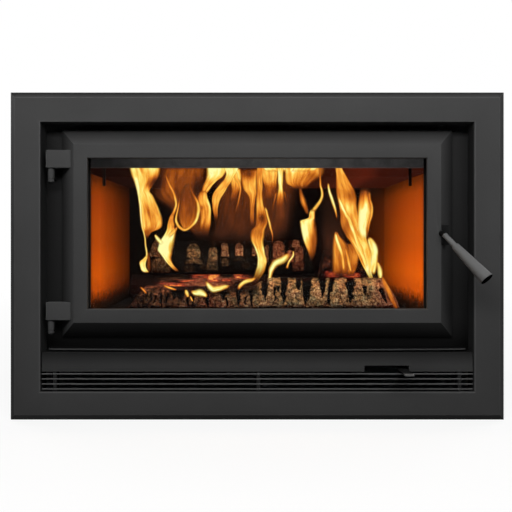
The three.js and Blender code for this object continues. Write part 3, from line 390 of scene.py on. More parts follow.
# %% [markdown]
# The side walls of a working firebox glow. The light of the flames is strongest at the front, low down, and
# dies away towards the back and under the baffle. It is painted here as light that the walls give off, as a
# function of height and depth, because the lit brick is itself what the eye sees, and because it stays free
# of noise.

# %% Glowing walls
cheek_low, cheek_high = sizes("cheek_plate_left")
back_low, back_high = sizes("side_brick_left")
GLOW_GAIN = 1.22
GLOW_PATCHES = 0.08
RAGGED_TOP = 8
BRICK_GRAIN = 9
CHEEK_GRAIN = 14
CORNER_SPAN = (270, 327)
BACK_SPAN = (-300, 300)


def glowing_wall(name, along, near, far, colours, falloff, base, grain_mm):
    """A wall that glows by height, times a falloff between near and far along an axis, 0 for X or 1 for Y,
    with grain in both."""
    material, tree, shader = new_material(name, Roughness=0.9, Specular_IOR_Level=0.05)
    place = add_node(tree, "ShaderNodeTexCoord").outputs["Object"]
    grain = add_node(tree, "ShaderNodeTexNoise", {"Vector": place, "Scale": 1 / (grain_mm * MM), "Detail": 5})
    axis = add_node(tree, "ShaderNodeSeparateXYZ", {0: place})
    wave = add_node(tree, "ShaderNodeMapRange", {0: grain, 1: NOISE_LOW, 2: NOISE_HIGH,
                                                 3: -RAGGED_TOP * MM, 4: RAGGED_TOP * MM})
    height = add_node(tree, "ShaderNodeMath", {0: axis.outputs[2], 1: wave})
    climb = add_node(tree, "ShaderNodeMapRange", {0: height, 1: cheek_low[2] * MM, 2: cheek_high[2] * MM})
    glow = add_node(tree, "ShaderNodeValToRGB", {0: climb}, stops=colours)
    start, stop = metres(near, near, 0)[along], metres(far, far, 0)[along]
    depth = add_node(tree, "ShaderNodeMapRange", {0: axis.outputs[along], 1: start, 2: stop})
    fade = add_node(tree, "ShaderNodeValToRGB", {0: depth}, stops=falloff)
    patch = add_node(tree, "ShaderNodeMapRange",
                     {0: grain, 1: NOISE_LOW, 2: NOISE_HIGH, 3: (1 - GLOW_PATCHES) * GLOW_GAIN,
                      4: (1 + GLOW_PATCHES) * GLOW_GAIN})
    strength = add_node(tree, "ShaderNodeMath", {0: fade, 1: patch}, operation="MULTIPLY")
    drive(shader, Emission_Color=glow)
    drive(shader, Emission_Strength=strength)
    soot = add_node(tree, "ShaderNodeValToRGB", {0: grain}, stops=base)
    drive(shader, Base_Color=soot)
    bump = add_node(tree, "ShaderNodeBump", {"Height": grain, "Strength": 0.4, "Distance": 1 * MM})
    drive(shader, Normal=bump)
    return material


WALL_GLOW = [(0, "#070200"), (0.056, "#230c01"), (0.10, "#622200"), (0.17, "#d15401"), (0.28, "#e66100"),
             (0.39, "#dc5801"), (0.50, "#c75000"), (0.64, "#c34f00"), (0.79, "#b44500"), (0.89, "#a04000"),
             (0.98, "#5c2201")]
SOOT = [(0.35, "#090302"), (0.65, "#130804")]
BACK_SOOT = [(0.35, "#0d0a08"), (0.65, "#1c1410")]
DEAD_BLACK = [(0, "#050302"), (1, "#050302")]


def firebox_side(name, low, high, falloff, grain_mm):
    """A side wall of the firebox, whose glow falls off from its front to its back."""
    return glowing_wall(name, 1, low[1], high[1], WALL_GLOW, falloff, SOOT, grain_mm)


left_cheek = firebox_side("fire_lit_cheek_steel_left", cheek_low, cheek_high,
                          [(0, 0.2), (0.1, 0.4), (0.25, 0.6), (1, 0.68)], CHEEK_GRAIN)
right_cheek = firebox_side("fire_lit_cheek_steel_right", cheek_low, cheek_high,
                           [(0, 0.3), (0.1, 0.62), (0.25, 0.88), (1, 0.82)], CHEEK_GRAIN)
left_brick = firebox_side("fire_lit_vermiculite_left", back_low, back_high,
                          [(0, 0.66), (0.1, 0.56), (0.2, 0.44), (0.35, 0.36), (0.51, 0.24), (0.69, 0.15),
                           (0.88, 0.09), (1, 0.05)], BRICK_GRAIN)
right_brick = firebox_side("fire_lit_vermiculite_right", back_low, back_high,
                           [(0, 0.8), (0.12, 0.76), (0.30, 0.64), (0.67, 0.4), (1, 0.2)], BRICK_GRAIN)
corner_brick = glowing_wall("fire_lit_vermiculite_corner", 0, *CORNER_SPAN, WALL_GLOW, [(0, 0.0), (1, 0.14)],
                            SOOT, BRICK_GRAIN)
back_brick = glowing_wall("sooted_vermiculite_brick", 0, *BACK_SPAN, DEAD_BLACK, [(0, 0.0), (1, 0.0)],
                          BACK_SOOT, BRICK_GRAIN)
print("Walls glow from", round(cheek_low[2]), "to", round(cheek_high[2]), "mm above the floor")

# %% [markdown]
# The baffle over the fire has a dull red glow along its front lip, where the flames on the right reach it:
# painted light of the flames, given off by the steel. The manifold in front of it is plain grey steel
# behind the top of the window, and the light of the flames below it is painted on as a grey glow.

# %% Baffle and manifold
BAR_GRAIN, MANIFOLD_GRAIN = 20, 25
DULL_RED = [(0, "#4b1608"), (1, "#4b1608")]
GREY_FIRELIGHT = [(0, "#3c3b3b"), (1, "#3c3b3b")]


def lit_bar(name, node, colours, falloff, base, grain_mm):
    """A bar across the firebox, whose one colour of painted glow falls off from its left end to its right
    end.
    """
    low, high = sizes(node)
    return glowing_wall(name, 0, low[0], high[0], colours, falloff, base, grain_mm)


# The red glow on the baffle's lip is painted light of the flames.
baffle_metal = lit_bar("fire_lit_baffle_steel", "baffle_plate", DULL_RED,
                       [(0, 0.08), (0.35, 0.12), (0.7, 0.3), (0.79, 0.9), (0.82, 1.0), (0.86, 0.42),
                        (1, 0.37)], [(0.35, "#120a08"), (0.65, "#1f120e")], BAR_GRAIN)
# The manifold's grey glow is painted light of the flames below it.
manifold_steel = lit_bar("grey_fire_lit_manifold_steel", "air_wash_manifold", GREY_FIRELIGHT,
                         [(0, 0.04), (0.12, 0.2), (0.29, 0.62), (0.61, 0.8), (0.88, 0.45), (1, 0.2)],
                         [(0.35, "#4c4a49"), (0.65, "#6a6766")], MANIFOLD_GRAIN)
print("Bars", baffle_metal.name, "and", manifold_steel.name)

# %% [markdown]
# The window is clear ceramic glass, 4 mm thick. Seen straight on it only darkens the fire slightly and
# carries a faint reflection, so it is a thin, mostly transparent coat rather than a refracting block, which
# keeps the light of the lamps reaching the logs. Smoke leaves a film on it, in clouds a hand wide, that
# dulls it here and there. The ropes that seal it are woven from glass fibre, in strands as coarse as a
# thread of wool.

# %% Glass and rope
FILM_CLOUD = 120
STRAND = 2.5
stove_glass, tree, shader = new_material("clear_ceramic_glass")
shader.inputs["Base Color"].default_value = linear("#0c0b0a")
place = add_node(tree, "ShaderNodeTexCoord").outputs["Object"]
film = add_node(tree, "ShaderNodeTexNoise", {"Vector": place, "Scale": 1 / (FILM_CLOUD * MM), "Detail": 3})
rough = add_node(tree, "ShaderNodeMapRange", {0: film, 1: NOISE_LOW, 2: NOISE_HIGH, 3: 0.02, 4: 0.06})
drive(shader, Roughness=rough)
haze = add_node(tree, "ShaderNodeMapRange", {0: film, 1: NOISE_LOW, 2: NOISE_HIGH, 3: 0.03, 4: 0.05})
drive(shader, Alpha=haze)

woven_rope, tree, shader = new_material("woven_glass_fibre_rope", Roughness=0.95, Specular_IOR_Level=0.1)
place = add_node(tree, "ShaderNodeTexCoord").outputs["Object"]
strands = add_node(tree, "ShaderNodeTexVoronoi", {"Vector": place, "Scale": 1 / (STRAND * MM)})
colour = add_node(tree, "ShaderNodeValToRGB", {0: strands.outputs["Distance"]},
                  stops=[(0.1, "#3a3a38"), (0.7, "#141413")])
drive(shader, Base_Color=colour)
bump = add_node(tree, "ShaderNodeBump", {"Height": strands.outputs["Distance"], "Distance": 0.6 * MM})
drive(shader, Normal=bump)
print("Glass with a film in clouds of", FILM_CLOUD, "mm, rope in strands of", STRAND, "mm")

# %% [markdown]
# Each node keeps its own shape and takes the finish of what it is made of.

# %% Finishes for the nodes
FINISHES = {
    "charcoal_paint": charcoal_paint, "black_paint": black_paint, "fired_steel": fired_steel,
    "galvanised_steel": galvanised, "firebrick": back_brick, "ceramic_glass": stove_glass,
    "glass_rope": woven_rope, "charred_wood": fired_steel, "ember": fired_steel,
}
OWN_FINISH = {
    "cheek_plate_left": left_cheek, "cheek_plate_right": right_cheek, "side_brick_left": left_brick,
    "side_brick_right": right_brick, "back_brick_right": corner_brick, "baffle_plate": baffle_metal,
    "air_wash_manifold": manifold_steel,
}
slot_of = {part["node"]: part["material_slot"] for part in frame["record"]["subparts"]}
bodies = frame["record"]["behaviour"]["bodies"]
body_of = {node: body for body, members in bodies.items() for node in members}
for node, thing in frame["nodes"].items():
    thing.material_slots[0].material = OWN_FINISH.get(node, FINISHES[slot_of[node]])
print(len(slot_of), "nodes finished")

# %% [markdown]
# Folded and welded sheet has no knife edges. A copy of each visible painted piece has its loose triangles
# merged and its edges rounded, so that every fold and mitre catches a thin line of light, as the real ones
# do. Long folds of the fascia and the door get the wider radius of a press brake.

# %% Rounded edges
FLAT = math.radians(1)
EDGE = math.radians(20)
FOLD_BENDS = (math.radians(30), math.radians(70))
FOLD_LENGTH = 15
MERGE = 0.01
EDGE_MM = 0.6
FOLD_MM = 1.7


def placed(name, mesh, body):
    """A piece with a mesh of its own, on a body."""
    piece = bpy.data.objects.new(name, mesh)
    bpy.context.scene.collection.objects.link(piece)
    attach(piece, body)
    return piece


def wear(node, mesh):
    """The piece that stands for a node, on its body; the node itself is hidden."""
    piece = placed(f"{node}_finished", mesh, body_of[node])
    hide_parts(node)
    return piece


def rounded(node, colour, *fades, edge_mm=0.5, fold_mm=0.0, shade_on_top=1.0):
    """A copy of a node with rounded edges, painted with the arguments of sprayed_paint. Folds and mitres of
    30 to 70 degrees are rounded wider: each edge's weight is its own width over the widest. The rounded
    strips take a lighter coat, a painted highlight along the edges."""
    mesh = frame["nodes"][node].data.copy()
    form = bmesh.new()
    form.from_mesh(mesh)
    bmesh.ops.remove_doubles(form, verts=form.verts, dist=MERGE * MM)
    bmesh.ops.dissolve_limit(form, angle_limit=FLAT, verts=form.verts, edges=form.edges)
    widest = max(edge_mm, fold_mm)
    weight = form.edges.layers.float.new("bevel_weight_edge")
    for edge in form.edges:
        bend = edge.calc_face_angle(0)
        fold = fold_mm and FOLD_BENDS[0] < bend < FOLD_BENDS[1] and edge.calc_length() > FOLD_LENGTH * MM
        edge[weight] = 0 if bend < EDGE else (fold_mm if fold else edge_mm) / widest
    form.to_mesh(mesh)
    form.free()
    mesh.shade_smooth()
    piece = wear(node, mesh)
    piece.data.materials.clear()
    # The second coat is the same paint made lighter: a painted highlight on the rounded strips.
    for label, gain in (("stove_paint", 1), ("painted_edge_highlight", EDGE_HIGHLIGHT_GAIN)):
        coat = sprayed_paint(f"{label}_on_{node}", colour, *fades, gain=gain, shade_on_top=shade_on_top)
        piece.data.materials.append(coat)
    bevel = piece.modifiers.new("edges", "BEVEL")
    bevel.limit_method = "WEIGHT"
    bevel.width = widest * MM
    bevel.segments = 3
    bevel.material = 1
    bevel.harden_normals = True


print("Edges rounded by", EDGE_MM, "mm and folds by", FOLD_MM, "mm")

# %% [markdown]
# The sheets differ in how far their colour falls with depth and height, and so do the cast hinge blocks,
# the latch boss and the louvre. Every fall is painted shade: in recesses, on the fascia's side bevels,
# below the door on the front plate, on the ash ledge's top and on the lower panel under the ledge. The
# numbers of each fade are the axis, the two places and the share that is left.

# %% Sheets, hinge blocks and louvre
ACROSS, BACK, UP = 0, 1, 2
door_low, door_high = sizes("door_frame")
door_face, door_back, sill = door_low[1], door_high[1], door_low[2]
panel_low, panel_high = sizes("lower_panel")
# Fascia and door: painted shade behind their faces and on the fascia's outer side bevels.
rounded("fascia_frame", CHARCOAL, (BACK, 0, 8, 0.38), (ACROSS, -451, -454, 0.7), (ACROSS, 449.5, 452.5, 0.86),
        edge_mm=EDGE_MM, fold_mm=FOLD_MM)
rounded("door_frame", CHARCOAL, (BACK, door_face, door_back, 0.22), edge_mm=EDGE_MM, fold_mm=FOLD_MM)
# Front plate: painted shadow of the door, darker towards and below its sill.
rounded("front_plate", BLACK, (UP, sill + 40, sill - 12, 0.2))
# Ash ledge: painted shade on its top faces.
rounded("ash_ledge", "#3c3c3c", shade_on_top=0.06)
# Lower panel: painted shadow of the ash ledge, darker towards its top, and painted shade behind its face.
rounded("lower_panel", "#393939", (UP, panel_low[2] + 12, panel_high[2], 0.28), (BACK, 4, 16, 0.5))
# Air slide, latch boss, hinge blocks and louvre: painted shade towards the back.
rounded("air_slide", "#5a5a5a", (BACK, -40, -26, 0.06))
rounded("latch_boss", "#151515", (BACK, -20, 20, 0.6))
for word in ("upper", "lower"):
    rounded(f"hinge_block_{word}", "#494949", (BACK, -25, 25, 0.6), edge_mm=0.8)
for word in ("left", "centre", "right"):
    rounded(f"louvre_rib_{word}", "#222222", (BACK, 5, 22, 0.3))
for i in range(4):
    rounded(f"louvre_blade_{i + 1}", "#525252", (BACK, 4.5, 9, 0.08), edge_mm=0.4)

# %% [markdown]
# Turned and bent round pieces, such as hinge pins, the handle's rod and grip, and later the logs, are all
# rings of points carried along a line. One function closes such a stack of rings with a fan at each end,
# and another gives the quads of any grid, which the flue's collar, the embers and the flames use too.

# %% Rings into a closed skin
SLANTED = (0.123, 0.456, 0.881)


def full_turn(count):
    """The angles of so many points round a circle."""
    return np.linspace(0, 2 * math.pi, count, endpoint=False)


def grid_quads(rows, columns, rows_join=False, columns_join=False):
    """The quads between the points of a grid that are numbered row by row. Where rows or columns join, the
    last one is followed by the first."""
    row, column = np.meshgrid(np.arange(rows - (not rows_join)), np.arange(columns - (not columns_join)),
                              indexing="ij")
    below, beside = (row + 1) % rows, (column + 1) % columns
    return np.stack([row * columns + column, below * columns + column, below * columns + beside,
                     row * columns + beside], axis=-1).reshape(-1, 4)


def keep_numbers(mesh, label, values):
    """Keeps one number for each point of a mesh, which its material reads by the label."""
    mesh.attributes.new(label, "FLOAT", "POINT").data.foreach_set("value", values.astype(np.float32))


def ring_mesh(name, rings, **attributes):
    """Joins an array of rings (ring, point, xyz) side by side, with a fan to the middle point at both ends.
    The faces are turned round if the enclosed volume comes out negative."""
    count, around = rings.shape[:2]
    points = np.concatenate([rings.reshape(-1, 3), rings[0].mean(0)[None], rings[-1].mean(0)[None]])
    quads = grid_quads(count, around, columns_join=True)[:, [0, 3, 2, 1]]
    edge = np.arange(around)
    after = (edge + 1) % around
    first, last = np.full(around, count * around), np.full(around, count * around + 1)
    last_ring = (count - 1) * around
    fans = np.concatenate([np.stack([after, edge, first], axis=-1),
                           np.stack([edge + last_ring, after + last_ring, last], axis=-1)])
    a, b, c, d = (points[quads[:, k]] for k in range(4))
    volume = np.einsum("ij,ij->", a, np.cross(b, c)) + np.einsum("ij,ij->", a, np.cross(c, d))
    if volume < 0:
        quads, fans = quads[:, ::-1], fans[:, ::-1]
    mesh = bpy.data.meshes.new(name)
    mesh.from_pydata(points.tolist(), [], quads.tolist() + fans.tolist())
    mesh.shade_smooth()
    for label, values in attributes.items():
        keep_numbers(mesh, label, np.concatenate([values.reshape(-1), [values[0].mean(), values[-1].mean()]]))
    return mesh


def carried_rings(path, radii, around):
    """Circles of given radii round the points of a path, each square to the path's own direction."""
    direction = np.gradient(path, axis=0)
    direction /= np.linalg.norm(direction, axis=1, keepdims=True)
    side = np.cross(direction, SLANTED)
    side /= np.linalg.norm(side, axis=1, keepdims=True)
    up = np.cross(direction, side)
    angle = full_turn(around)[None, :, None]
    circle = side[:, None] * np.cos(angle) + up[:, None] * np.sin(angle)
    return path[:, None] + circle * np.asarray(radii)[:, None, None]


def dressed(node, mesh, material):
    """The piece that stands for a node, in one material."""
    mesh.materials.append(material)
    return wear(node, mesh)


print(len(grid_quads(3, 3)), "quads join a grid of 3 by 3 points")

# %% [markdown]
# The hinge pins are turned bar: a head that the block rests on, with a groove, and a thinner journal up
# through the block. Such a piece is a profile of radius and height, turned once round.

# %% Hinge pins
PIN_RADIUS = 5.85
PIN_CHAMFER = 1.4
GROOVE_DEPTH = 0.9
GROOVE_FOOT, GROOVE_TOP = 4.8, 6.8
ROUNDING = 0.2
JOURNAL_RADIUS = 4
BLOCK_PLAY = 0.5
ROUND = 72
for word in ("upper", "lower"):
    low, high = sizes(f"hinge_pin_{word}")
    x, y = (low + high)[:2] / 2
    shoulder = sizes(f"hinge_block_{word}")[0][2] - BLOCK_PLAY - low[2]
    top = high[2] - low[2]
    profile = np.array([
        (0.2, 0), (PIN_RADIUS - PIN_CHAMFER, 0), (PIN_RADIUS - 0.5, 0.4), (PIN_RADIUS, PIN_CHAMFER),
        (PIN_RADIUS, GROOVE_FOOT), (PIN_RADIUS - ROUNDING, GROOVE_FOOT + ROUNDING),
        (PIN_RADIUS - GROOVE_DEPTH, GROOVE_FOOT + 2 * ROUNDING),
        (PIN_RADIUS - GROOVE_DEPTH, GROOVE_TOP - 2 * ROUNDING),
        (PIN_RADIUS - ROUNDING, GROOVE_TOP - ROUNDING), (PIN_RADIUS, GROOVE_TOP),
        (PIN_RADIUS, shoulder - 0.5), (PIN_RADIUS - 0.5, shoulder), (JOURNAL_RADIUS, shoulder),
        (JOURNAL_RADIUS, top - 1), (JOURNAL_RADIUS - 1, top), (0.2, top),
    ])
    angle = full_turn(ROUND)
    rings = metres(x + profile[:, :1] * np.cos(angle), y + profile[:, :1] * np.sin(angle),
                   low[2] + profile[:, 1:])
    pin = dressed(f"hinge_pin_{word}", ring_mesh(f"hinge_pin_{word}", rings), charcoal_paint)
    pin.data.set_sharp_from_angle(angle=EDGE)
    print("Pin", word, "with its shoulder", round(float(shoulder), 1), "mm up")

# %% [markdown]
# The handle is a bent rod in a tapered grip, turned from solid bar and blackened. The rod leaves the latch
# boss square to the door, turns through a short bend, and then runs outwards and down. Its root, where it
# leaves the boss, and the end face of the grip are painted nearly black: painted shade.

# %% Handle rod
HANDLE_DROP = math.radians(53.5)
HANDLE_OUT = math.radians(30)
ROD_ROOT = 8.5
ROD_RADIUS = 5
STUD_RADIUS = 3.2
ROD_BEND = 7
ROD_LENGTH = 44
SHADED_ROOT = 3
BEND_STEPS = 14
ROD_SHARP = math.radians(50)
turning = next(joint for joint in frame["joints"] if joint["name"] == "handle_turn")
elbow = metres(turning["pos_m"][0] / MM, door_face - ROD_ROOT, turning["pos_m"][2] / MM)
outwards = np.array([math.cos(HANDLE_OUT) * math.cos(HANDLE_DROP), -math.sin(HANDLE_OUT),
                     -math.cos(HANDLE_OUT) * math.sin(HANDLE_DROP)])
inwards = np.array([0, 1, 0])
t = np.linspace(0, 1, BEND_STEPS)[:, None]
root_end = elbow + inwards * (sizes("handle_rod")[1][1] - door_face + ROD_ROOT) * MM
bend_in = elbow + inwards * ROD_BEND * MM
bend_out = elbow + outwards * ROD_BEND * MM
bend = bend_in * (1 - t) ** 2 + elbow * 2 * t * (1 - t) + bend_out * t ** 2
tongue_front = sizes("latch_tongue")[0][1]
stud_start = elbow + inwards * (tongue_front - 0.3 - door_face + ROD_ROOT) * MM
rod_end = elbow + outwards * ROD_LENGTH * MM
path = np.concatenate([[root_end, stud_start + inwards * 0.01 * MM, stud_start], bend, [rod_end]])
radii = np.full(len(path), ROD_RADIUS * MM)
radii[:2] = STUD_RADIUS * MM
grip_paint = sprayed_paint("satin_black_grip", "#626262", cloud_mm=30, peel_mm=1.2)
rod = dressed("handle_rod", ring_mesh("handle_rod", carried_rings(path, radii, 40)), grip_paint)
rod.data.set_sharp_from_angle(angle=ROD_SHARP)
# The root of the rod is painted nearly black: painted shade where it leaves the boss.
rod.data.materials.append(sprayed_paint("painted_shade_rod_root", "#0c0c0c", cloud_mm=30, peel_mm=1.2))
for face in rod.data.polygons:
    face.material_index = int(np.dot(np.array(face.center) - elbow, outwards) < SHADED_ROOT * MM)
print("Rod from", elbow, "to", rod_end)

# %% Handle grip
GRIP_START = 32
GRIP_LENGTH = 84
GRIP_SMALL = 7
GRIP_LARGE = 12.4
SOCKET_DEPTH = 13
SOCKET_PLAY = 0.3
GRIP_SHARP = math.radians(40)
LOOKS_OUT = 0.6
grip_end = GRIP_START + GRIP_LENGTH
profile = np.array([
    (0.3, GRIP_START + SOCKET_DEPTH), (ROD_RADIUS + SOCKET_PLAY, GRIP_START + SOCKET_DEPTH),
    (ROD_RADIUS + SOCKET_PLAY, GRIP_START), (GRIP_SMALL - 0.8, GRIP_START),
    (GRIP_SMALL - 0.2, GRIP_START + 0.4), (GRIP_SMALL, GRIP_START + 1.2), (GRIP_LARGE, grip_end - 2.2),
    (GRIP_LARGE - 0.25, grip_end - 1), (GRIP_LARGE - 1, grip_end - 0.25), (GRIP_LARGE - 2.2, grip_end),
    (0.3, grip_end),
])
side = np.cross(outwards, [0, 0, 1])
side /= np.linalg.norm(side)
up = np.cross(outwards, side)
angle = full_turn(ROUND)[None, :, None]
rings = elbow + (profile[:, 1, None, None] * outwards
                 + profile[:, 0, None, None] * (side * np.cos(angle) + up * np.sin(angle))) * MM
grip = dressed("handle_grip", ring_mesh("handle_grip", rings), grip_paint)
grip.data.set_sharp_from_angle(angle=GRIP_SHARP)
# The end face of the grip is painted nearly black without gloss: painted shade on the face that looks away
# from the lamp.
grip_end_shade = sprayed_paint("painted_shade_grip_end", "#060606", cloud_mm=30, peel_mm=1.2)
grip_end_shade.node_tree.nodes["Principled BSDF"].inputs["Specular IOR Level"].default_value = 0
grip.data.materials.append(grip_end_shade)
for face in grip.data.polygons:
    face.material_index = int(np.dot(face.normal, outwards) > LOOKS_OUT)
print("Grip", GRIP_LENGTH, "mm long, its end at", elbow + outwards * grip_end * MM)

# %% [markdown]
# The flue spigot passes through the casing's top sheet with room to grow as it heats. A collar of fibre
# rope lies in that gap, so that no daylight falls into the casing. It is a small rectangle carried round
# the flue.

# %% Collar round the flue
FLUE_X, FLUE_Y = 0, 250
COLLAR_INSIDE, COLLAR_OUTSIDE = 75.2, 77.8
COLLAR_FOOT, COLLAR_TOP = 584.5, 592.8
section = np.array([(COLLAR_INSIDE, COLLAR_FOOT), (COLLAR_OUTSIDE, COLLAR_FOOT), (COLLAR_OUTSIDE, COLLAR_TOP),
                    (COLLAR_INSIDE, COLLAR_TOP)])
angle = full_turn(2 * ROUND)[:, None]
places = metres(FLUE_X + section[:, 0] * np.cos(angle), FLUE_Y + section[:, 0] * np.sin(angle),
                np.broadcast_to(section[:, 1], (2 * ROUND, len(section))))
collar_mesh = bpy.data.meshes.new("flue_collar")
collar_mesh.from_pydata(places.reshape(-1, 3).tolist(), [],
                        grid_quads(2 * ROUND, len(section), rows_join=True, columns_join=True).tolist())
collar_mesh.materials.append(woven_rope)
placed("flue_collar", collar_mesh, "root")
print("Collar", len(collar_mesh.polygons), "faces")

# %% [markdown]
# The casing's sides are riveted to the folded edges of its back, and two screws a side hold the fascia's
# brackets. Each head is a low dome on a side face: a stack of rings, closed like every other round piece.

# %% Rivet and screw heads
RIVET_RADIUS, RIVET_RISE = 4.2, 1.5
SCREW_RADIUS, SCREW_RISE = 6.5, 3.4
RIVET_EDGE = 9.5
RIVETS = 7
LOWEST_RIVET, HIGHEST_RIVET = 45, 40
SCREW_DEPTH = 52
SCREW_HEIGHTS = (205, 411)
BRACKET_SHEET = 3.3
DOME_RINGS = 6
DOME_TOP = math.radians(84)
DOME_SIDES = 24


def head(name, x, y, z, side, radius, rise):
    """A dome that looks to one side, -1 or 1 along X: its radius shrinks with the cosine of an angle while
    it rises with the sine."""
    lift = np.linspace(0, DOME_TOP, DOME_RINGS)[:, None]
    angle = full_turn(DOME_SIDES)
    ring = radius * np.cos(lift)
    rings = metres(x + side * rise * np.sin(lift), y + ring * np.cos(angle), z + ring * np.sin(angle))
    mesh = ring_mesh(name, rings)
    mesh.materials.append(galvanised)
    placed(name, mesh, "root")


for side, word in ((-1, "left"), (1, "right")):
    sheet_low, sheet_high = sizes(f"casing_{word}")
    sheet_face = side * max(sheet_high[0], -sheet_low[0])
    rivet_y = sheet_high[1] - RIVET_EDGE
    for i, z in enumerate(np.linspace(sheet_low[2] + LOWEST_RIVET, sheet_high[2] - HIGHEST_RIVET, RIVETS)):
        head(f"casing_rivet_{word}_{i + 1}", sheet_face, rivet_y, z, side, RIVET_RADIUS, RIVET_RISE)
    screw_face = sheet_face + side * BRACKET_SHEET
    for i, z in enumerate(SCREW_HEIGHTS):
        head(f"bracket_screw_{word}_{i + 1}", screw_face, SCREW_DEPTH, z, side, SCREW_RADIUS, SCREW_RISE)
print(2 * (RIVETS + len(SCREW_HEIGHTS)), "heads")

# %% [markdown]
# Everything rough in the fire needs smooth random numbers: bark, char, ember and the streaks in a flame.
# Value noise puts one repeatable number on each corner of a lattice and blends between them, for whole
# arrays at once.

# %% Noise
def lattice_number(cells, seed):
    """A repeatable number from -1 to 1 for each lattice corner, by mixing its whole-number coordinates."""
    mixed = cells @ np.array([73856093, 19349663, 83492791]) + seed * 9176351
    mixed = (mixed ^ (mixed >> 13)) * 1274126177
    mixed = (mixed ^ (mixed >> 16)) * 668265263
    return ((mixed >> 8) & 0xFFFF) / 32767.5 - 1


def noise(points, cell, seed=0):
    """Smooth noise from -1 to 1: the numbers on the eight corners round a point, blended by a
    smoothstep."""
    place = points / np.asarray(cell, float)
    base = np.floor(place).astype(np.int64)
    part = place - base
    part = part * part * (3 - 2 * part)
    total = np.zeros(points.shape[:-1])
    for corner in np.ndindex(2, 2, 2):
        share = np.prod(np.where(corner, part, 1 - part), axis=-1)
        total += share * lattice_number(base + np.array(corner), seed)
    return total


def rough_noise(points, cell, seed=0, octaves=3):
    """Noise plus the same at half the size and half the height, and so on."""
    return sum(noise(points, np.asarray(cell, float) / 2 ** k, seed + k) / 2 ** k for k in range(octaves))


def smoothstep(low, high, value):
    """0 up to low, 1 from high on, and an S-shaped climb between; it falls where high is below low."""
    share = np.clip((value - low) / (high - low), 0, 1)
    return share * share * (3 - 2 * share)


print("Noise at one place:", noise(np.array([[0.5, 0.5, 0.5]]), 1)[0].round(3))

# %% [markdown]
# Charred wood splits across the heat into pillars: pale with ash on their faces, rusty where the fire still
# works, black in the gaps. A log is a tube of rings along X. Where each gap and each knob lies is read from
# the picture, so a point on the bark first finds the pixel that shows it, and then how deep it lies in a
# gap.

# %% Bark
CAP_RINGS = 7
CAP_START = 0.06


def bark_form(node, columns, around):
    """The bare log of a node's box: rings from its left to its right end, with cap rings that shrink at
    both ends. Gives the box, the share along, the angle round and the share of the radius."""
    low, high = sizes(node)
    cap = np.linspace(CAP_START, 1, CAP_RINGS)
    shrink = np.concatenate([cap, np.ones(columns), cap[::-1]])
    along = np.concatenate([np.zeros(CAP_RINGS), np.linspace(0, 1, columns), np.ones(CAP_RINGS)])
    u, a = np.meshgrid(along, full_turn(around), indexing="ij")
    return low, high, u, a, np.broadcast_to(shrink[:, None], u.shape)


def log_places(low, high, u, a, shrink, slant, radius, burnt_down=1.0):
    """Places on a log in the fitter's millimetres: its radius round the axis of its box, shrunk at the
    caps, with ends that slant by so many millimetres from the bottom to the top. burnt_down is the share of
    its height that the fire has left."""
    middle = (low + high) / 2
    reach = radius * shrink
    ends = abs(slant)
    x = low[0] + ends + (high[0] - low[0] - 2 * ends) * u - slant * (2 * u - 1) * np.sin(a) * shrink
    z = low[2] + (middle[2] + reach * np.sin(a) - low[2]) * burnt_down
    return np.stack([x, middle[1] + reach * np.cos(a), z], axis=-1)


def in_gaps(px, py, gaps, crown_row):
    """How deep pixels lie in the nearest gap, from 0 to 1. A gap is (column at its top, column at its foot,
    half width at its top, top row, bottom row); it narrows to its foot, and runs on over the crown of the
    log when its top row is above crown_row."""
    deepest = np.zeros_like(px)
    for top_column, foot_column, half, top, bottom in gaps:
        t = np.clip((py - top) / (bottom - top), 0, 1)
        width = half * (1 - t) ** 0.7 + 0.35
        aside = np.abs(px - (top_column + (foot_column - top_column) * t)) / width
        rows = smoothstep(bottom + 1.2, bottom - 1.5, py)
        if top > crown_row:
            rows = rows * smoothstep(top - 1.5, top + 0.8, py)
        deepest = np.maximum(deepest, smoothstep(1.25, 0.75, aside) * rows)
    return deepest


def in_knobs(px, py, knobs):
    """The tallest knob at each pixel as height, tone and rust. A knob is (middle column, half width, top
    row, bottom row, tone, rust): a block with an arched top, straight sides and a flat foot."""
    height, tone, rust = (np.zeros_like(px) for _ in range(3))
    for middle, half, top, bottom, own_tone, own_rust in knobs:
        arch = np.clip((top + half - py) / half, 0, 1)
        aside = np.sqrt(((px - middle) / half) ** 2 + arch ** 2)
        own = smoothstep(1.12, 0.82, aside) * smoothstep(bottom + 0.7, bottom - 0.7, py)
        taller = own > height
        height = np.where(taller, own, height)
        tone = np.where(taller, own_tone, tone)
        rust = np.where(taller, own_rust, rust)
    return height, tone, rust


print("Log ends closed by", CAP_RINGS, "rings each")

# %% [markdown]
# One material serves all the wood. The mesh says how pale and how rusty each point is, and how much it
# glows; the nodes add what is too fine for the mesh, specks of char and a greenish cast where the ash is
# old.

# %% Charred wood
FLECK = 4
OLD_ASH_PATCH = 13
ASH_TONES = (0.0, 0.2, 0.45, 0.72, 1.0)
bark_skin, tree, shader = new_material("charred_hardwood_bark", Roughness=0.95, Specular_IOR_Level=0.05)
place = add_node(tree, "ShaderNodeTexCoord").outputs["Object"]
pale, rust, ember = (add_node(tree, "ShaderNodeAttribute", attribute_name=label).outputs["Fac"]
                     for label in ("pale", "rust", "ember"))
fleck = add_node(tree, "ShaderNodeTexNoise",
                 {"Vector": place, "Scale": 1 / (FLECK * MM), "Detail": 5, "Roughness": 0.65})
cast = add_node(tree, "ShaderNodeTexNoise", {"Vector": place, "Scale": 1 / (OLD_ASH_PATCH * MM), "Detail": 3})
flecked = add_node(tree, "ShaderNodeMapRange", {0: fleck, 1: 0.36, 2: 0.62, 3: 0.35, 4: 1.15})
tone = add_node(tree, "ShaderNodeMath", {0: pale, 1: flecked}, operation="MULTIPLY")
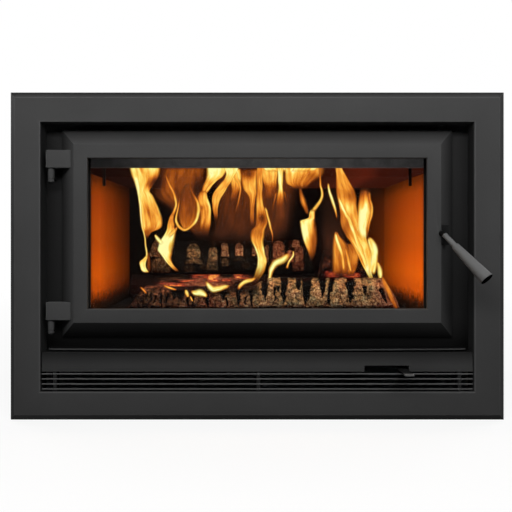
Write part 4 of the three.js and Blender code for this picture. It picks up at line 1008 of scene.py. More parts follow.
ash, old_ash, rusty = (
    add_node(tree, "ShaderNodeValToRGB", {0: tone}, stops=list(zip(ASH_TONES, colours)))
    for colours in (("#070504", "#241910", "#62482e", "#9c764d", "#cda677"),
                    ("#050504", "#1c1912", "#514b37", "#82795a", "#ada483"),
                    ("#070303", "#33150f", "#83432f", "#b87257", "#dba487")))
greened = add_node(tree, "ShaderNodeMapRange", {0: cast, 1: 0.46, 2: 0.66, 3: 0.0, 4: 0.8})
grey_bark = add_node(tree, "ShaderNodeMix", {0: greened, 6: ash, 7: old_ash}, data_type="RGBA")
rust_spread = add_node(tree, "ShaderNodeMapRange", {0: fleck, 1: 0.62, 2: 0.4, 3: 0.35, 4: 1.5})
rust_share = add_node(tree, "ShaderNodeMath", {0: rust, 1: rust_spread}, operation="MULTIPLY",
                      use_clamp=True)
bark_colour = add_node(tree, "ShaderNodeMix", {0: rust_share, 6: grey_bark.outputs[2], 7: rusty},
                       data_type="RGBA")
drive(shader, Base_Color=bark_colour.outputs[2])
glow = add_node(tree, "ShaderNodeMath", {0: ember, 1: fleck}, operation="MULTIPLY")
glow_colour = add_node(tree, "ShaderNodeValToRGB", {0: glow},
                       stops=[(0.0, "#000000"), (0.18, "#2a0806"), (0.38, "#8c2c1c"), (0.58, "#d8602c"),
                              (0.8, "#ffae50")])
drive(shader, Emission_Color=glow_colour)
shader.inputs["Emission Strength"].default_value = 1.0
bump = add_node(tree, "ShaderNodeBump", {"Height": flecked, "Strength": 0.6, "Distance": 1.2 * MM})
drive(shader, Normal=bump)


def bark_on(node, surface, **attributes):
    """The finished log of a node, from its places in the fitter's millimetres."""
    dressed(node, ring_mesh(node, metres(*np.moveaxis(surface, -1, 0)), **attributes), bark_skin)
    print(node, "in", surface.shape[0], "rings of", surface.shape[1], "points")


# %% [markdown]
# The front log lies against the window. Its lower half is squarer than round, because it has settled into
# the embers, so its bark runs down behind the sill. On the right it has burnt into broad pillars with open
# gaps; on the left it is smoother and only cracked. Where its look changes is read from the picture as a
# span of columns or rows: the change starts at the first number and is full at the second.

# %% Gaps in the front log
PILLAR_GAPS = (
    (274.8, 275.4, 0.9, 288, 304), (284.3, 283.6, 2.9, 284, 304.5), (298.3, 298.8, 2.2, 276, 290),
    (307.0, 306.0, 4.7, 275, 306), (322.6, 322.6, 3.4, 276, 298), (333.0, 328.2, 2.6, 278, 305),
    (350.6, 350.4, 3.9, 283, 305), (364.9, 365.2, 2.0, 286, 296), (381.0, 386.0, 2.4, 289, 303),
    (264.8, 264.6, 2.2, 283, 301), (278.0, 278.6, 1.4, 286, 292))
BARK_CRACKS = (
    (151.0, 150.4, 0.7, 294, 303), (155.8, 154.4, 0.7, 296, 305), (161.6, 160.4, 0.9, 294, 305.5),
    (167.3, 165.4, 1.1, 294, 304), (173.4, 174.0, 2.6, 290, 300), (180.0, 179.6, 4.2, 291, 299.5),
    (187.5, 187.6, 1.4, 298, 306), (192.8, 192.4, 1.2, 297, 307), (206.9, 207.0, 2.1, 293, 309),
    (222.6, 223.0, 3.4, 289, 300.5), (227.0, 226.8, 0.8, 299, 308), (238.4, 238.6, 3.0, 286, 307),
    (250.6, 252.4, 1.4, 291, 308.5), (245.4, 245.2, 0.7, 297, 305))
print(len(PILLAR_GAPS), "gaps and", len(BARK_CRACKS), "cracks")

# %% Front log
FRONT_RADIUS = 35.4
FRONT_SLANT = 18
FRONT_HEIGHT = 0.87
CROWN_ROW = 285
GAP_DEPTH = 8
SMOOTH_COLUMNS = (200, 158)
BURNT_LOW_COLUMNS = (274, 246)
THICK_END_COLUMNS = (165, 140)
DARK_END_COLUMNS = (150, 137)
DULL_COLUMNS = (262, 205)
DARK_CROWN_ROWS, DARK_CROWN_COLUMNS = (281, 276.5), (270, 290)
SOOT_ROWS, SOOT_BEGINS, SOOT_ENDS = (300, 290), (168, 176), (264, 254)
RUST_BEGINS, RUST_ENDS = (172, 196), (236, 222)
RUSTY_CROWN_ROWS, RUSTY_CROWN_COLUMNS = (292, 286), (262, 240)
RUSTY_FOOT_ROWS = (300, 309)
RUSTY_END_COLUMNS = (368, 384)
EMBER_COLUMNS = (380, 392)
low, high, u, a, shrink = bark_form("front_log", columns=500, around=190)
squareness = 2 + 3 * smoothstep(0.0, -0.5, np.sin(a))
squared = (np.abs(np.cos(a)) ** squareness + np.abs(np.sin(a)) ** squareness) ** (-1 / squareness)
column = seen_at(low[0] + (high[0] - low[0]) * u, low[1], low[2])[0]
left_share = smoothstep(*SMOOTH_COLUMNS, column)
height_left = (FRONT_HEIGHT - 0.25 * smoothstep(*BURNT_LOW_COLUMNS, column)
               + 0.03 * smoothstep(*THICK_END_COLUMNS, column))
radius = FRONT_RADIUS * squared
bare = log_places(low, high, u, a, shrink, FRONT_SLANT, radius, height_left)
px, py = seen_at(bare[..., 0], bare[..., 1], bare[..., 2])
ragged = 1.3 * rough_noise(bare, 9, seed=3, octaves=3)
gap = in_gaps(px + ragged, py + ragged, PILLAR_GAPS + BARK_CRACKS, CROWN_ROW)
nodules = rough_noise(bare, 5.5, seed=21, octaves=3)
ridges = noise(bare, (3.5, 30, 22), seed=33)
left_end = smoothstep(*DARK_END_COLUMNS, px)
relief = -GAP_DEPTH * gap + (1.5 * nodules + 0.6 * ridges) * (1 - 0.5 * left_share)
worn = 0.73 + 0.27 * nodules + 0.12 * ridges - 0.28 * smoothstep(*DULL_COLUMNS, px) - 0.1 * left_share
crown = smoothstep(*DARK_CROWN_ROWS, py) * smoothstep(*DARK_CROWN_COLUMNS, px)
sooted = smoothstep(*SOOT_ROWS, py) * smoothstep(*SOOT_BEGINS, px) * smoothstep(*SOOT_ENDS, px)
pale = np.clip((1 - gap) ** 2 * worn * (1 - 0.55 * crown) * (1 - 0.75 * sooted) * (1 - 0.3 * left_end), 0, 1)
rusty_left = 0.35 * smoothstep(*RUST_BEGINS, px) * smoothstep(*RUST_ENDS, px)
rusty_crown = 0.5 * smoothstep(*RUSTY_CROWN_ROWS, py) * smoothstep(*RUSTY_CROWN_COLUMNS, px)
rusty_ends = (0.4 * smoothstep(*RUSTY_FOOT_ROWS, py) + 0.5 * smoothstep(*RUSTY_END_COLUMNS, px)
              + 0.25 * left_share)
rust = np.clip(0.05 + rusty_left + rusty_crown + rusty_ends + 0.35 * noise(bare, 16, seed=27), 0, 1)
ember = np.clip(0.5 * smoothstep(*EMBER_COLUMNS, px) * smoothstep(0.3, -0.6, nodules), 0, 1)
surface = log_places(low, high, u, a, shrink, FRONT_SLANT, radius + relief, height_left)
bark_on("front_log", surface, pale=pale * shrink, rust=rust, ember=ember)

# %% [markdown]
# The log behind lies higher and in the shadow of the flames, so that only the ash on its bark knobs shows:
# upright blocks like a row of teeth, cracked across at one height.

# %% Knobs of the upper log
KNOBS = (
    (158.5, 9.0, 233, 257, 0.55, 0.3), (161, 10, 256.6, 272.5, 0.52, 0.1),
    (193.8, 7.3, 243.3, 258, 0.62, 0.05), (193.8, 10, 257, 264, 0.48, 0.05),
    (189.5, 6, 264.4, 272, 0.30, 0.1), (203.5, 3, 264, 270, 0.26, 0.1),
    (213.4, 4.8, 246.9, 262, 0.66, 0.05), (212.2, 5.8, 257, 270.5, 0.46, 0.05),
    (225.1, 3.8, 242.9, 256.6, 0.70, 0.4), (225.7, 3.6, 257.9, 266.4, 0.42, 0.05),
    (239.3, 4.3, 243.3, 256.4, 0.74, 0.5), (240, 6, 257.6, 262, 0.26, 0.05),
    (254.3, 2.6, 242.9, 256, 0.62, 0.35), (267, 2.2, 245, 263, 0.42, 0.4),
    (278.7, 6.3, 240.5, 259, 0.56, 0.75), (277.6, 6.6, 255, 264, 0.42, 0.8),
    (290.4, 3.8, 250, 262, 0.55, 0.8), (296, 4.3, 239.6, 247.6, 0.72, 0.6),
    (299, 4.5, 245, 262, 0.46, 0.75), (298.5, 6, 259, 271, 0.38, 0.9), (246, 4, 262, 269, 0.2, 0.1))
print(len(KNOBS), "knobs")

# %% Upper log
UPPER_RADIUS = 39.5
UPPER_SLANT = 9
KNOB_RISE = 4.2
low, high, u, a, shrink = bark_form("upper_log", columns=400, around=190)
radius = UPPER_RADIUS + 1.4 * np.sin(2 * a + 5 * u) + 0.9 * np.sin(3 * a - 9 * u)
bare = log_places(low, high, u, a, shrink, UPPER_SLANT, radius)
px, py = seen_at(bare[..., 0], bare[..., 1], bare[..., 2])
uneven = 0.55 * rough_noise(bare, 9, seed=31, octaves=2)
knob, tone, rust = in_knobs(px + uneven, py + uneven, KNOBS)
front = smoothstep(0.15, -0.15, np.cos(a))
knob = knob * front
nodules = rough_noise(bare, 6, seed=41, octaves=3)
ridges = noise(bare, (3, 30, 14), seed=43)
relief = KNOB_RISE * knob - 2.4 + 0.9 * nodules + 0.5 * ridges * knob
pale = np.clip(knob * tone * (0.88 + 0.3 * nodules + 0.3 * ridges) + 0.05 * front, 0, 1)
surface = log_places(low, high, u, a, shrink, UPPER_SLANT, radius + relief)
bark_on("upper_log", surface, pale=pale, rust=rust, ember=0 * pale)

# %% [markdown]
# Between the two logs the wood still works: the rear log and the embers glow in spots, each with its own
# place and size in the picture.

# %% Glowing spots
GLOW_SPOTS = (
    (201, 274.5, 9, 4.2, 0.42), (214, 277.5, 6.2, 4.6, 0.75), (239, 274.6, 5.0, 4.2, 0.75),
    (176, 285.4, 12, 2.4, 0.6), (226, 279.6, 6.0, 2.0, 0.4), (190, 281.0, 10, 1.2, 0.5),
    (246, 277, 5, 2.2, 0.4), (168, 283.6, 10, 1.1, 0.55), (333, 274.5, 8, 3.4, 0.45),
    (352, 275.5, 9, 2.6, 0.5), (292, 268, 9, 4.5, 0.35))


def glow_of(px, py):
    """The glow of the spots at each pixel: a soft hill for each (column, row, half width, half height,
    glow)."""
    total = np.zeros_like(px)
    for column, row, wide, tall, own in GLOW_SPOTS:
        total = np.maximum(total, own * np.exp(-((px - column) / wide) ** 4 - ((py - row) / tall) ** 4))
    return total


print(len(GLOW_SPOTS), "glowing spots")

# %% Rear and right logs
REAR_RADIUS = 28.5
RIGHT_RADIUS = 32.5
RIGHT_SLANT = 7
LIT_BEGINS, LIT_ENDS = (150, 165), (262, 235)
RUSTY_REAR_ROWS = (276, 282)
low, high, u, a, shrink = bark_form("rear_log", columns=320, around=140)
radius = REAR_RADIUS + 1.2 * np.sin(2 * a + 7 * u) + 0.8 * np.sin(3 * a - 11 * u)
bare = log_places(low, high, u, a, shrink, 0, radius)
px, py = seen_at(bare[..., 0], bare[..., 1], bare[..., 2])
grain = rough_noise(bare, (22, 6, 6), seed=51, octaves=4)
# The rear log's bark is paler between these columns: painted light.
lit = smoothstep(*LIT_BEGINS, px) * smoothstep(*LIT_ENDS, px)
bark_on("rear_log", log_places(low, high, u, a, shrink, 0, radius + 2 * grain),
        pale=np.clip(0.1 + lit * (0.26 + 0.24 * grain), 0, 1),
        rust=np.clip(0.3 + 0.5 * smoothstep(*RUSTY_REAR_ROWS, py) + 0.4 * grain, 0, 1),
        ember=np.clip(glow_of(px, py) * (1.9 - 1.6 * grain), 0, 1.5))

low, high, u, a, shrink = bark_form("right_log", columns=120, around=150)
radius = RIGHT_RADIUS + 1.6 * np.sin(2 * a + 3 * u) + 1.2 * np.sin(3 * a - 5 * u)
bare = log_places(low, high, u, a, shrink, RIGHT_SLANT, radius)
px, py = seen_at(bare[..., 0], bare[..., 1], bare[..., 2])
nodules = rough_noise(bare, 9, seed=65, octaves=3)
bark_on("right_log", log_places(low, high, u, a, shrink, RIGHT_SLANT, radius + 1.8 * nodules),
        pale=np.clip(0.16 + 0.2 * nodules, 0, 1), rust=np.clip(0.7 + 0.4 * nodules, 0, 1),
        ember=np.clip(glow_of(px, py) * (1.7 - 1.2 * nodules), 0, 1.3))

# %% [markdown]
# The ember bed is a low heap of glowing charcoal. It is a grid over the heap's box, raised into lumps by
# noise and closed by a skirt and a flat underside, and the gaps between its lumps glow.

# %% Ember bed
BED_COLUMNS = 230
BED_ROWS = 110
LUMP = 18
LUMP_RISE = 5
HEAP_SHARE = 0.62
BED_FOOT = 0.5
low, high = sizes("ember_bed")
across, deep = np.meshgrid(np.linspace(-1, 1, BED_COLUMNS), np.linspace(-1, 1, BED_ROWS), indexing="ij")
x = (low[0] + high[0]) / 2 + across * (high[0] - low[0]) / 2
y = (low[1] + high[1]) / 2 + deep * (high[1] - low[1]) / 2
dome = np.clip((1 - across ** 4) * (1 - deep ** 4), 0, 1) ** 0.5
lumps = rough_noise(np.stack([x, y, 0 * x], axis=-1), LUMP, seed=71, octaves=4)
z = low[2] + BED_FOOT + dome * ((high[2] - low[2]) * HEAP_SHARE + LUMP_RISE * lumps)
px, py = seen_at(x, y, z)
behind_log = smoothstep(low[1] + 62, low[1] + 84, y)
glow = behind_log * (0.35 + glow_of(px, py) - 0.8 * lumps)
border = np.concatenate([np.arange(BED_COLUMNS) * BED_ROWS,
                         (BED_COLUMNS - 1) * BED_ROWS + np.arange(1, BED_ROWS),
                         np.arange(BED_COLUMNS - 2, -1, -1) * BED_ROWS + BED_ROWS - 1,
                         np.arange(BED_ROWS - 2, 0, -1)])
top = metres(x, y, z).reshape(-1, 3)
under = top[border] * np.array([1, 1, 0]) + np.array([0, 0, low[2] * MM])
edge = np.arange(len(border))
after = (edge + 1) % len(border)
skirt = np.stack([border, len(top) + edge, len(top) + after, border[after]], axis=-1)
faces = grid_quads(BED_COLUMNS, BED_ROWS).tolist() + skirt.tolist() + [(len(top) + edge[::-1]).tolist()]
bed_mesh = bpy.data.meshes.new("ember_bed")
bed_mesh.from_pydata(np.concatenate([top, under]).tolist(), [], faces)
bed_mesh.shade_smooth()
for label, values in (("pale", np.clip(0.12 + 0.2 * lumps, 0, 1)), ("rust", 0.5 + 0 * lumps),
                      ("ember", np.clip(glow, 0, 1.3))):
    keep_numbers(bed_mesh, label, np.concatenate([values.reshape(-1), np.zeros(len(under))]))
dressed("ember_bed", bed_mesh, bark_skin)
print("Ember bed of", len(top), "points")

# %% [markdown]
# A flame is a thin sheet of burning gas, brightest where the sheet is seen edge on and clear where it is
# seen flat. It gives off its light and casts none back, so its colour is all emission, and streaks run
# along its flow. Two attributes say how hot and how dense the gas is at each point: its heat changes across
# from edge to edge, and it fades out at the edges and both ends.

# %% Flame material
flame_gas, tree, shader = new_material("burning_gas", Roughness=1.0, Specular_IOR_Level=0.0)
shader.inputs["Base Color"].default_value = (0, 0, 0, 1)
hotness = add_node(tree, "ShaderNodeAttribute", attribute_name="hotness").outputs["Fac"]
thickness = add_node(tree, "ShaderNodeAttribute", attribute_name="thickness").outputs["Fac"]
flow = add_node(tree, "ShaderNodeUVMap", uv_map="flow")
streak = add_node(tree, "ShaderNodeTexNoise", {"Vector": flow, "Scale": 1.0, "Detail": 4})
streaked = add_node(tree, "ShaderNodeMapRange",
                    {0: streak, 1: NOISE_LOW, 2: NOISE_HIGH, 3: 0.74, 4: 1.18})
level = add_node(tree, "ShaderNodeMath", {0: hotness, 1: streaked}, operation="MULTIPLY")
FLAME_COLOURS = [(0.0, "#080303"), (0.2, "#4a2717"), (0.34, "#823c14"), (0.47, "#ba5f19"), (0.58, "#e08428"),
                 (0.7, "#f8aa3e"), (0.82, "#ffd25e"), (0.92, "#fff086"), (1.0, "#fffbaa")]
colour = add_node(tree, "ShaderNodeValToRGB", {0: level}, stops=FLAME_COLOURS)
drive(shader, Emission_Color=colour)
shader.inputs["Emission Strength"].default_value = 1.1
drive(shader, Alpha=thickness)
print("Flame in", len(FLAME_COLOURS), "colours")

# %% [markdown]
# Each piece of flame is one bent sheet. It is either a veil, drawn between a left and a right edge row by
# row, or a ribbon carried along a smooth line, and both hand a grid of pixels to the function that makes
# the gas. Flames rise from between the logs and leave over the front of the baffle, which gives their
# depth. Where the fire is a little cooler or hotter, a spot says so: (column, row, half width, half height,
# factor).

# %% Sheets of gas
FLAME_BACK = 214
FLAME_FRONT = 92
HEARTH_PIXEL = 268
BAFFLE_PIXEL = 182
SHEET_COLUMNS = 33
STEPS_A_POINT = 12
BULGE = 0.7
SWAY_SIDEWAYS, SWAY_UP = 0.55, 0.4
SWAY_CELL = 7
FLICKER_CELL = 10
EDGE_HEAT = 0.72
STREAK_WIDE, STREAK_LONG = 2.6, 20
COOLER = [
    (313.5, 240, 4.6, 14, .58), (155.5, 182, 7, 6.5, .3), (150, 186, 3, 4, .7), (149.5, 213, 6, 8, .8),
    (197, 188, 5, 10, .5), (202, 207.5, 2, 2.6, .7), (205.2, 212, 2.6, 4, .9), (248, 173.5, 7, 6, .5),
    (242, 170, 3, 4, .7), (262, 218, 3.2, 4.6, .55), (314.6, 226, 1.1, 4.5, .65), (351, 196.5, 5, 7, .64),
    (313, 175, 6, 6, .76), (255, 231, 5, 6, .78), (345, 231, 4, 10, .66), (355.5, 213, 2, 5, .85),
    (175, 227, 1.6, 2, .5), (221, 180, 4, 3, .7)]
HOTTER = [
    (358, 230, 5, 6, 1.12), (291, 170, 8, 3, 1.2), (164, 249, 5, 8, 1.12), (362, 221, 4, 12, 1.1),
    (306, 226, 4, 8, 1.08)]


def flame_depth(py):
    """Flames rise between the logs and lean forward, because they leave the firebox over the front of the
    baffle: the depth goes from the back to the front as the pixel row rises."""
    return FLAME_FRONT + (FLAME_BACK - FLAME_FRONT) * smoothstep(BAFFLE_PIXEL, HEARTH_PIXEL, py)


def smooth_path(points):
    """A smooth line through points: each stretch is a cubic that leaves a point in the direction of its two
    neighbours."""
    points = np.asarray(points, float)
    padded = np.concatenate([2 * points[:1] - points[1:2], points, 2 * points[-1:] - points[-2:-1]])
    place = np.linspace(0, len(points) - 1, STEPS_A_POINT * len(points))
    index = np.minimum(place.astype(int), len(points) - 2)
    t = (place - index)[:, None]
    p0, p1, p2, p3 = (padded[index + k] for k in range(4))
    return 0.5 * (2 * p1 + (p2 - p0) * t + (2 * p0 - 5 * p1 + 4 * p2 - p3) * t ** 2
                  + (3 * p1 - p0 - 3 * p2 + p3) * t ** 3)


def heat_of(px, py, share, heat, across, still):
    """The heat of the gas: three values across, from -1 to 1, on a parabola, times the flicker and the
    spots."""
    first, middle, last = across
    hot = heat * (middle * (1 - share ** 2) + np.where(share < 0, first, last) * share ** 2)
    hot = hot * (1 + 0.12 * rough_noise(still, FLICKER_CELL, seed=62, octaves=3))
    for x, y, wide, high, factor in COOLER + HOTTER:
        hot = hot * (1 + (factor - 1) * np.exp(-((px - x) / wide) ** 2 - ((py - y) / high) ** 2))
    return hot


def gas(name, px, py, half, heat, across, soft, ends, depth, back):
    """The sheet over a grid of pixels. soft gives the share of the width over which each edge fades, ends
    the share of the length. The gas sways by part of a pixel, and its UV map runs along the flow."""
    share = np.linspace(-1, 1, SHEET_COLUMNS)[None]
    soft = [min(1.6 * part, 0.9) for part in soft]
    still = np.stack(np.broadcast_arrays(px, py * 0.6, 0.0 * px), axis=-1)
    px = px + SWAY_SIDEWAYS * rough_noise(still, SWAY_CELL, seed=60, octaves=2)
    py = py + SWAY_UP * rough_noise(still, SWAY_CELL, seed=61, octaves=2)
    hot = heat_of(px, py, share, heat, across, still)
    along = np.linspace(0, 1, len(px))[:, None]
    fade = smoothstep(1.0, 1 - soft[0], -share) * smoothstep(1.0, 1 - soft[1], share)
    fade = fade * smoothstep(0, ends[0], along) * smoothstep(1, 1 - ends[1], along)
    solid = np.clip(0.3 + 1.1 * hot, 0, 1) * fade
    hot = hot * (EDGE_HEAT + (1 - EDGE_HEAT) * fade)
    base = flame_depth(py) if depth is None else depth
    surface = behind_pixel(px, py, base + back + BULGE * half * (1 - share ** 2))
    mesh = bpy.data.meshes.new(name)
    mesh.from_pydata(surface.reshape(-1, 3).tolist(), [], grid_quads(len(px), SHEET_COLUMNS).tolist())
    mesh.shade_smooth()
    flow = mesh.uv_layers.new(name="flow")
    step = np.hypot(np.diff(px[:, SHEET_COLUMNS // 2]), np.diff(py[:, SHEET_COLUMNS // 2]))
    length = np.concatenate([[0], np.cumsum(step)])[:, None]
    uv = np.stack(np.broadcast_arrays(share * half.mean() / STREAK_WIDE + len(name) + px[0, 0],
                                      length / STREAK_LONG), axis=-1)
    loops = np.empty(len(mesh.loops), np.int64)
    mesh.loops.foreach_get("vertex_index", loops)
    flow.data.foreach_set("uv", uv.reshape(-1, 2)[loops].astype(np.float32).reshape(-1))
    keep_numbers(mesh, "hotness", hot.reshape(-1))
    keep_numbers(mesh, "thickness", solid.reshape(-1))
    mesh.materials.append(flame_gas)
    placed(name, mesh, "root")


def veil(name, rows, across=(1, 1, 1), soft=(0.2, 0.2), ends=(0.06, 0.18), depth=None, back=0.0):
    """A sheet between two edges: rows of (pixel row, left column, right column, heat)."""
    line = smooth_path(rows)
    half = np.maximum(line[:, 2] - line[:, 1], 0.4)[:, None] / 2
    middle = (line[:, 1] + line[:, 2])[:, None] / 2
    px = middle + half * np.linspace(-1, 1, SHEET_COLUMNS)[None]
    py = np.broadcast_to(line[:, :1], px.shape)
    gas(name, px, py, half, line[:, 3:], across, soft, ends, depth, back)


def ribbon(name, points, across=(0.8, 1, 0.8), soft=(0.6, 0.6), ends=(0.1, 0.1), depth=None, back=0.0):
    """A sheet along a line: points of (pixel column, pixel row, half width, heat)."""
    line = smooth_path(points)
    half = np.maximum(line[:, 2], 0.25)[:, None]
    direction = np.gradient(line[:, :2], axis=0)
    direction /= np.linalg.norm(direction, axis=1, keepdims=True)
    share = np.linspace(-1, 1, SHEET_COLUMNS)[None]
    px = line[:, :1] + direction[:, 1:] * half * share
    py = line[:, 1:2] - direction[:, :1] * half * share
    gas(name, px, py, half, line[:, 3:], across, soft, ends, depth, back)


def sheet_count():
    """How many sheets of gas hang in the fire so far."""
    return len([o for o in bpy.data.objects if o.name.startswith(("flame", "lick"))])


print(len(COOLER), "cooler and", len(HOTTER), "hotter spots")

# %% [markdown]
# The flames are named and drawn from left to right, each from the top down as the eye follows it. The haze
# behind them is a veil too, wide and hardly warm, and what lies in front of another sheet has a lower back.

# %% Left flames
veil("flame_left_haze", [
    (164, 159, 207, .44), (176, 153, 206, .42), (184, 149, 206, .42), (192, 148, 207, .4),
    (198, 151, 208, .36), (204, 159, 208, .32), (210, 166, 209, .3), (218, 172, 210, .3),
    (226, 180, 211, .3), (234, 191, 211, .26), (243, 195, 210, .12)], soft=(.4, .2), back=8)
veil("flame_left_sheet", [
    (160, 127, 161.5, .9), (168.6, 129.5, 160.8, .92), (174, 131.5, 160, .9), (180, 133.3, 158, .86),
    (186, 135.2, 153.5, .78), (191, 136.8, 150.5, .8), (196, 138, 154, .84), (204, 138.8, 157.8, .8),
    (212, 139.2, 161, .76), (219, 139.8, 163, .74), (225, 140.8, 162.8, .7), (229, 141.8, 159.5, .62),
    (232, 142.6, 152.5, .5), (236, 144, 149.5, .42), (240, 145.2, 148.6, .36)],
    across=(1.14, .9, 1.02), soft=(.1, .14), ends=(.05, .1))
ribbon("flame_left_edge", [
    (132, 160, 4, 1.04), (134.4, 170, 4.4, 1.06), (136.6, 180, 3.4, 1.02), (138.7, 190, 2.2, 1),
    (140, 200, 1.6, 1), (140.5, 210, 1.3, 1), (141.2, 220, 1.1, 1), (142.7, 229, 1.1, .95),
    (145.2, 239, 1.15, .84), (146.6, 248, 1.2, .8), (147, 255, 1.3, .84), (145.6, 260, 2, .92)],
    across=(1, 1, .85), back=-4)
veil("flame_left_bulb", [
    (256, 146, 148.2, .78), (259, 143.2, 147.8, .84), (261.5, 140, 147.2, .92), (264, 139.4, 146.6, 1),
    (267, 139.9, 146.8, 1), (269.5, 140.6, 148, 1), (271.4, 142.6, 149.2, .94), (273, 146, 149.6, .7)],
    across=(.95, 1, .95), soft=(.2, .25), back=-6)
veil("flame_bulb_haze", [
    (252, 147, 149.6, .3), (260, 147, 151, .4), (267, 146.5, 151.5, .36), (273, 148, 151, .2)],
    soft=(.5, .5))
ribbon("flame_second_line", [
    (165, 172, 1.3, .42), (167.2, 179, 1.6, .5), (170.2, 186, 1.7, .58), (173.6, 193, 1.8, .66),
    (175.6, 200, 1.8, .74), (175.8, 206, 1.9, .78), (174, 211.6, 2.1, .78), (172, 217, 2.4, .78),
    (170.6, 222, 2.6, .76)], back=-3)
veil("flame_second_body", [
    (213, 171.4, 175, .72), (219, 169.4, 174.6, .76), (225, 167.4, 176.2, .78), (230, 166, 177, .8),
    (236, 162.4, 176.2, .88), (241, 159.4, 175.2, .95), (246, 157.6, 174.4, 1), (250, 157, 173.8, 1),
    (254, 159.8, 173.2, 1), (258, 163, 171.8, .98), (262, 166, 172.6, .9), (266, 169.6, 175.6, .82),
    (270, 174.6, 178.8, .7), (272.6, 177.4, 179.4, .4)], across=(1.1, 1, .74), soft=(.14, .3), back=-5)
ribbon("flame_spur", [
    (154.6, 234.4, 1, .84), (156.7, 237.4, 2.3, 1), (159.5, 241, 2.9, 1), (163, 245, 3.4, 1)],
    ends=(.1, .3), back=-7)
veil("flame_loop_inside", [
    (182, 186, 190, .26), (190, 181.5, 192.4, .34), (200, 179, 197, .42), (210, 178.2, 198, .46),
    (218, 177.5, 196.5, .48), (224, 179.4, 193, .54), (228, 182, 189, .56), (231, 184, 187, .4)],
    across=(.95, .88, 1.1), soft=(.25, .25), back=2)
ribbon("flame_loop", [
    (180.4, 194, .9, .46), (179.2, 202, 1.2, .66), (178, 209.6, 1.3, .74), (176.4, 216, 1.4, .76),
    (176.8, 222, 1.6, .78), (179.6, 227.2, 1.8, .8), (184.8, 229.8, 1.8, .8), (190, 227.4, 2, .8),
    (194.4, 222, 2.2, .8), (197.6, 216, 2.5, .82), (199, 210, 2.6, .84), (198, 203.6, 2.4, .82),
    (195.4, 198.4, 2, .74), (192.6, 193, 1.7, .6), (190.4, 187, 1.4, .52), (188.6, 180, 1.1, .4)],
    across=(.85, 1, .75), back=-7)
ribbon("flame_bridge", [
    (178, 225.6, 1.4, .6), (175.4, 229.6, 2.2, .76), (171.6, 233.4, 2.8, .8), (168, 238, 2.6, .8)],
    ends=(.25, .3), back=-4)
veil("flame_third_sheet", [
    (160, 205, 227, .92), (168, 205.4, 227, .96), (172, 205.8, 226.4, .92), (176, 205.8, 224, .86),
    (181, 204.2, 218, .8), (186, 202.6, 212.2, .78), (191, 201.2, 208.8, .78), (195, 200.8, 206.8, .78)],
    across=(.8, 1, .88), soft=(.25, .12), back=-2)
veil("flame_third_lobe", [
    (190, 200, 206.6, .8), (197, 196.6, 208, .94), (202, 196.8, 209.6, .96), (208, 198.6, 210.9, .88),
    (214, 199.8, 211.3, .82), (220, 199.6, 211.1, .76), (226, 198.8, 210.7, .66), (231, 198.4, 210.2, .54),
    (239, 198.8, 208.6, .26)], across=(.74, .8, 1.1), soft=(.35, .12), ends=(.06, .35), back=-4)
veil("flame_sweep", [
    (160, 222, 240.5, .96), (168, 223.6, 239.4, 1), (173, 225.8, 236.4, .98), (178, 224.8, 233.4, .9),
    (183, 220.4, 230.6, .82), (188, 216.8, 227.2, .8), (194, 212.8, 224, .78), (200, 211.8, 220.9, .78),
    (206, 212.2, 218.9, .72), (212, 213.2, 218.3, .6), (218, 214.4, 218, .44), (225, 215.4, 217.6, .22)],
    across=(.92, 1, .94), soft=(.16, .14), back=-6)
print("After the left flames:", sheet_count(), "sheets")

# %% Middle flames
veil("flame_brown_haze", [
    (172, 212, 302, .3), (186, 213, 301, .29), (200, 214, 299, .28), (214, 213, 297, .27),
    (226, 211, 294, .26), (235, 208, 290, .22), (243, 206, 287, .14), (250, 206, 285, .05)],
    soft=(.15, .2), ends=(.05, .35), back=12)
veil("flame_sweep_shade", [
    (168, 226, 243, .84), (176, 228, 243, .9), (183, 230, 242, .82), (189, 230.8, 240.4, .6),
    (195, 230, 238.4, .4), (203, 229, 237, .28)], soft=(.3, .3))
ribbon("flame_leg_line", [
    (234.6, 170, 4, .96), (236.4, 178, 3, .86), (239.4, 184, 2.2, .76), (240.4, 191, 1.6, .62),
    (239.2, 199, 1.2, .52), (236.8, 207.6, 1.1, .42), (234.9, 215, 1, .3)], back=-3)
veil("flame_arch", [
    (168, 239, 260, .62), (175, 240, 258.6, .7), (181, 240.6, 257.8, .76), (186, 241.4, 257.4, .76),
    (190, 243.4, 257.2, .74), (194, 247, 257, .7), (200, 249.2, 255.6, .62), (208, 249.8, 255, .56),
    (216, 250.2, 254.8, .5), (224, 250.6, 254.8, .4), (231, 251, 254.6, .24)],
    across=(.8, 1, .94), soft=(.2, .2), back=-2)
veil("flame_centre", [
    (160, 256.6, 265, .8), (170, 256.8, 264, .8), (180, 256.8, 262.8, .78), (190, 256.6, 262.8, .78),
    (200, 256.4, 263.2, .78), (206, 256.2, 264.2, .8), (211, 256.2, 265.6, .76), (216, 256.2, 267, .68),
    (221, 256, 268.2, .66), (226, 254.8, 267.2, .72), (230, 250.8, 265.8, .76), (236, 249.8, 265, .78),
    (242, 250.8, 264, .88), (248, 254, 264.8, .97), (254, 256.4, 266.2, .95), (260, 257.4, 268, .95),
    (266, 256.6, 267.2, .94), (272, 254.8, 265.4, .9), (278, 253, 261.4, .85), (285, 252.2, 256.6, .66)],
    across=(1.0, .82, .96), soft=(.2, .2), ends=(.04, .2), back=-6)
ribbon("flame_centre_branch", [
    (264.8, 206, 1.2, .82), (266.8, 213, 1.7, .92), (269.2, 221.4, 1.6, .84), (271, 229.4, 1.3, .62),
    (272.5, 237, 1.1, .4), (272.4, 245, .9, .24)], back=-8)
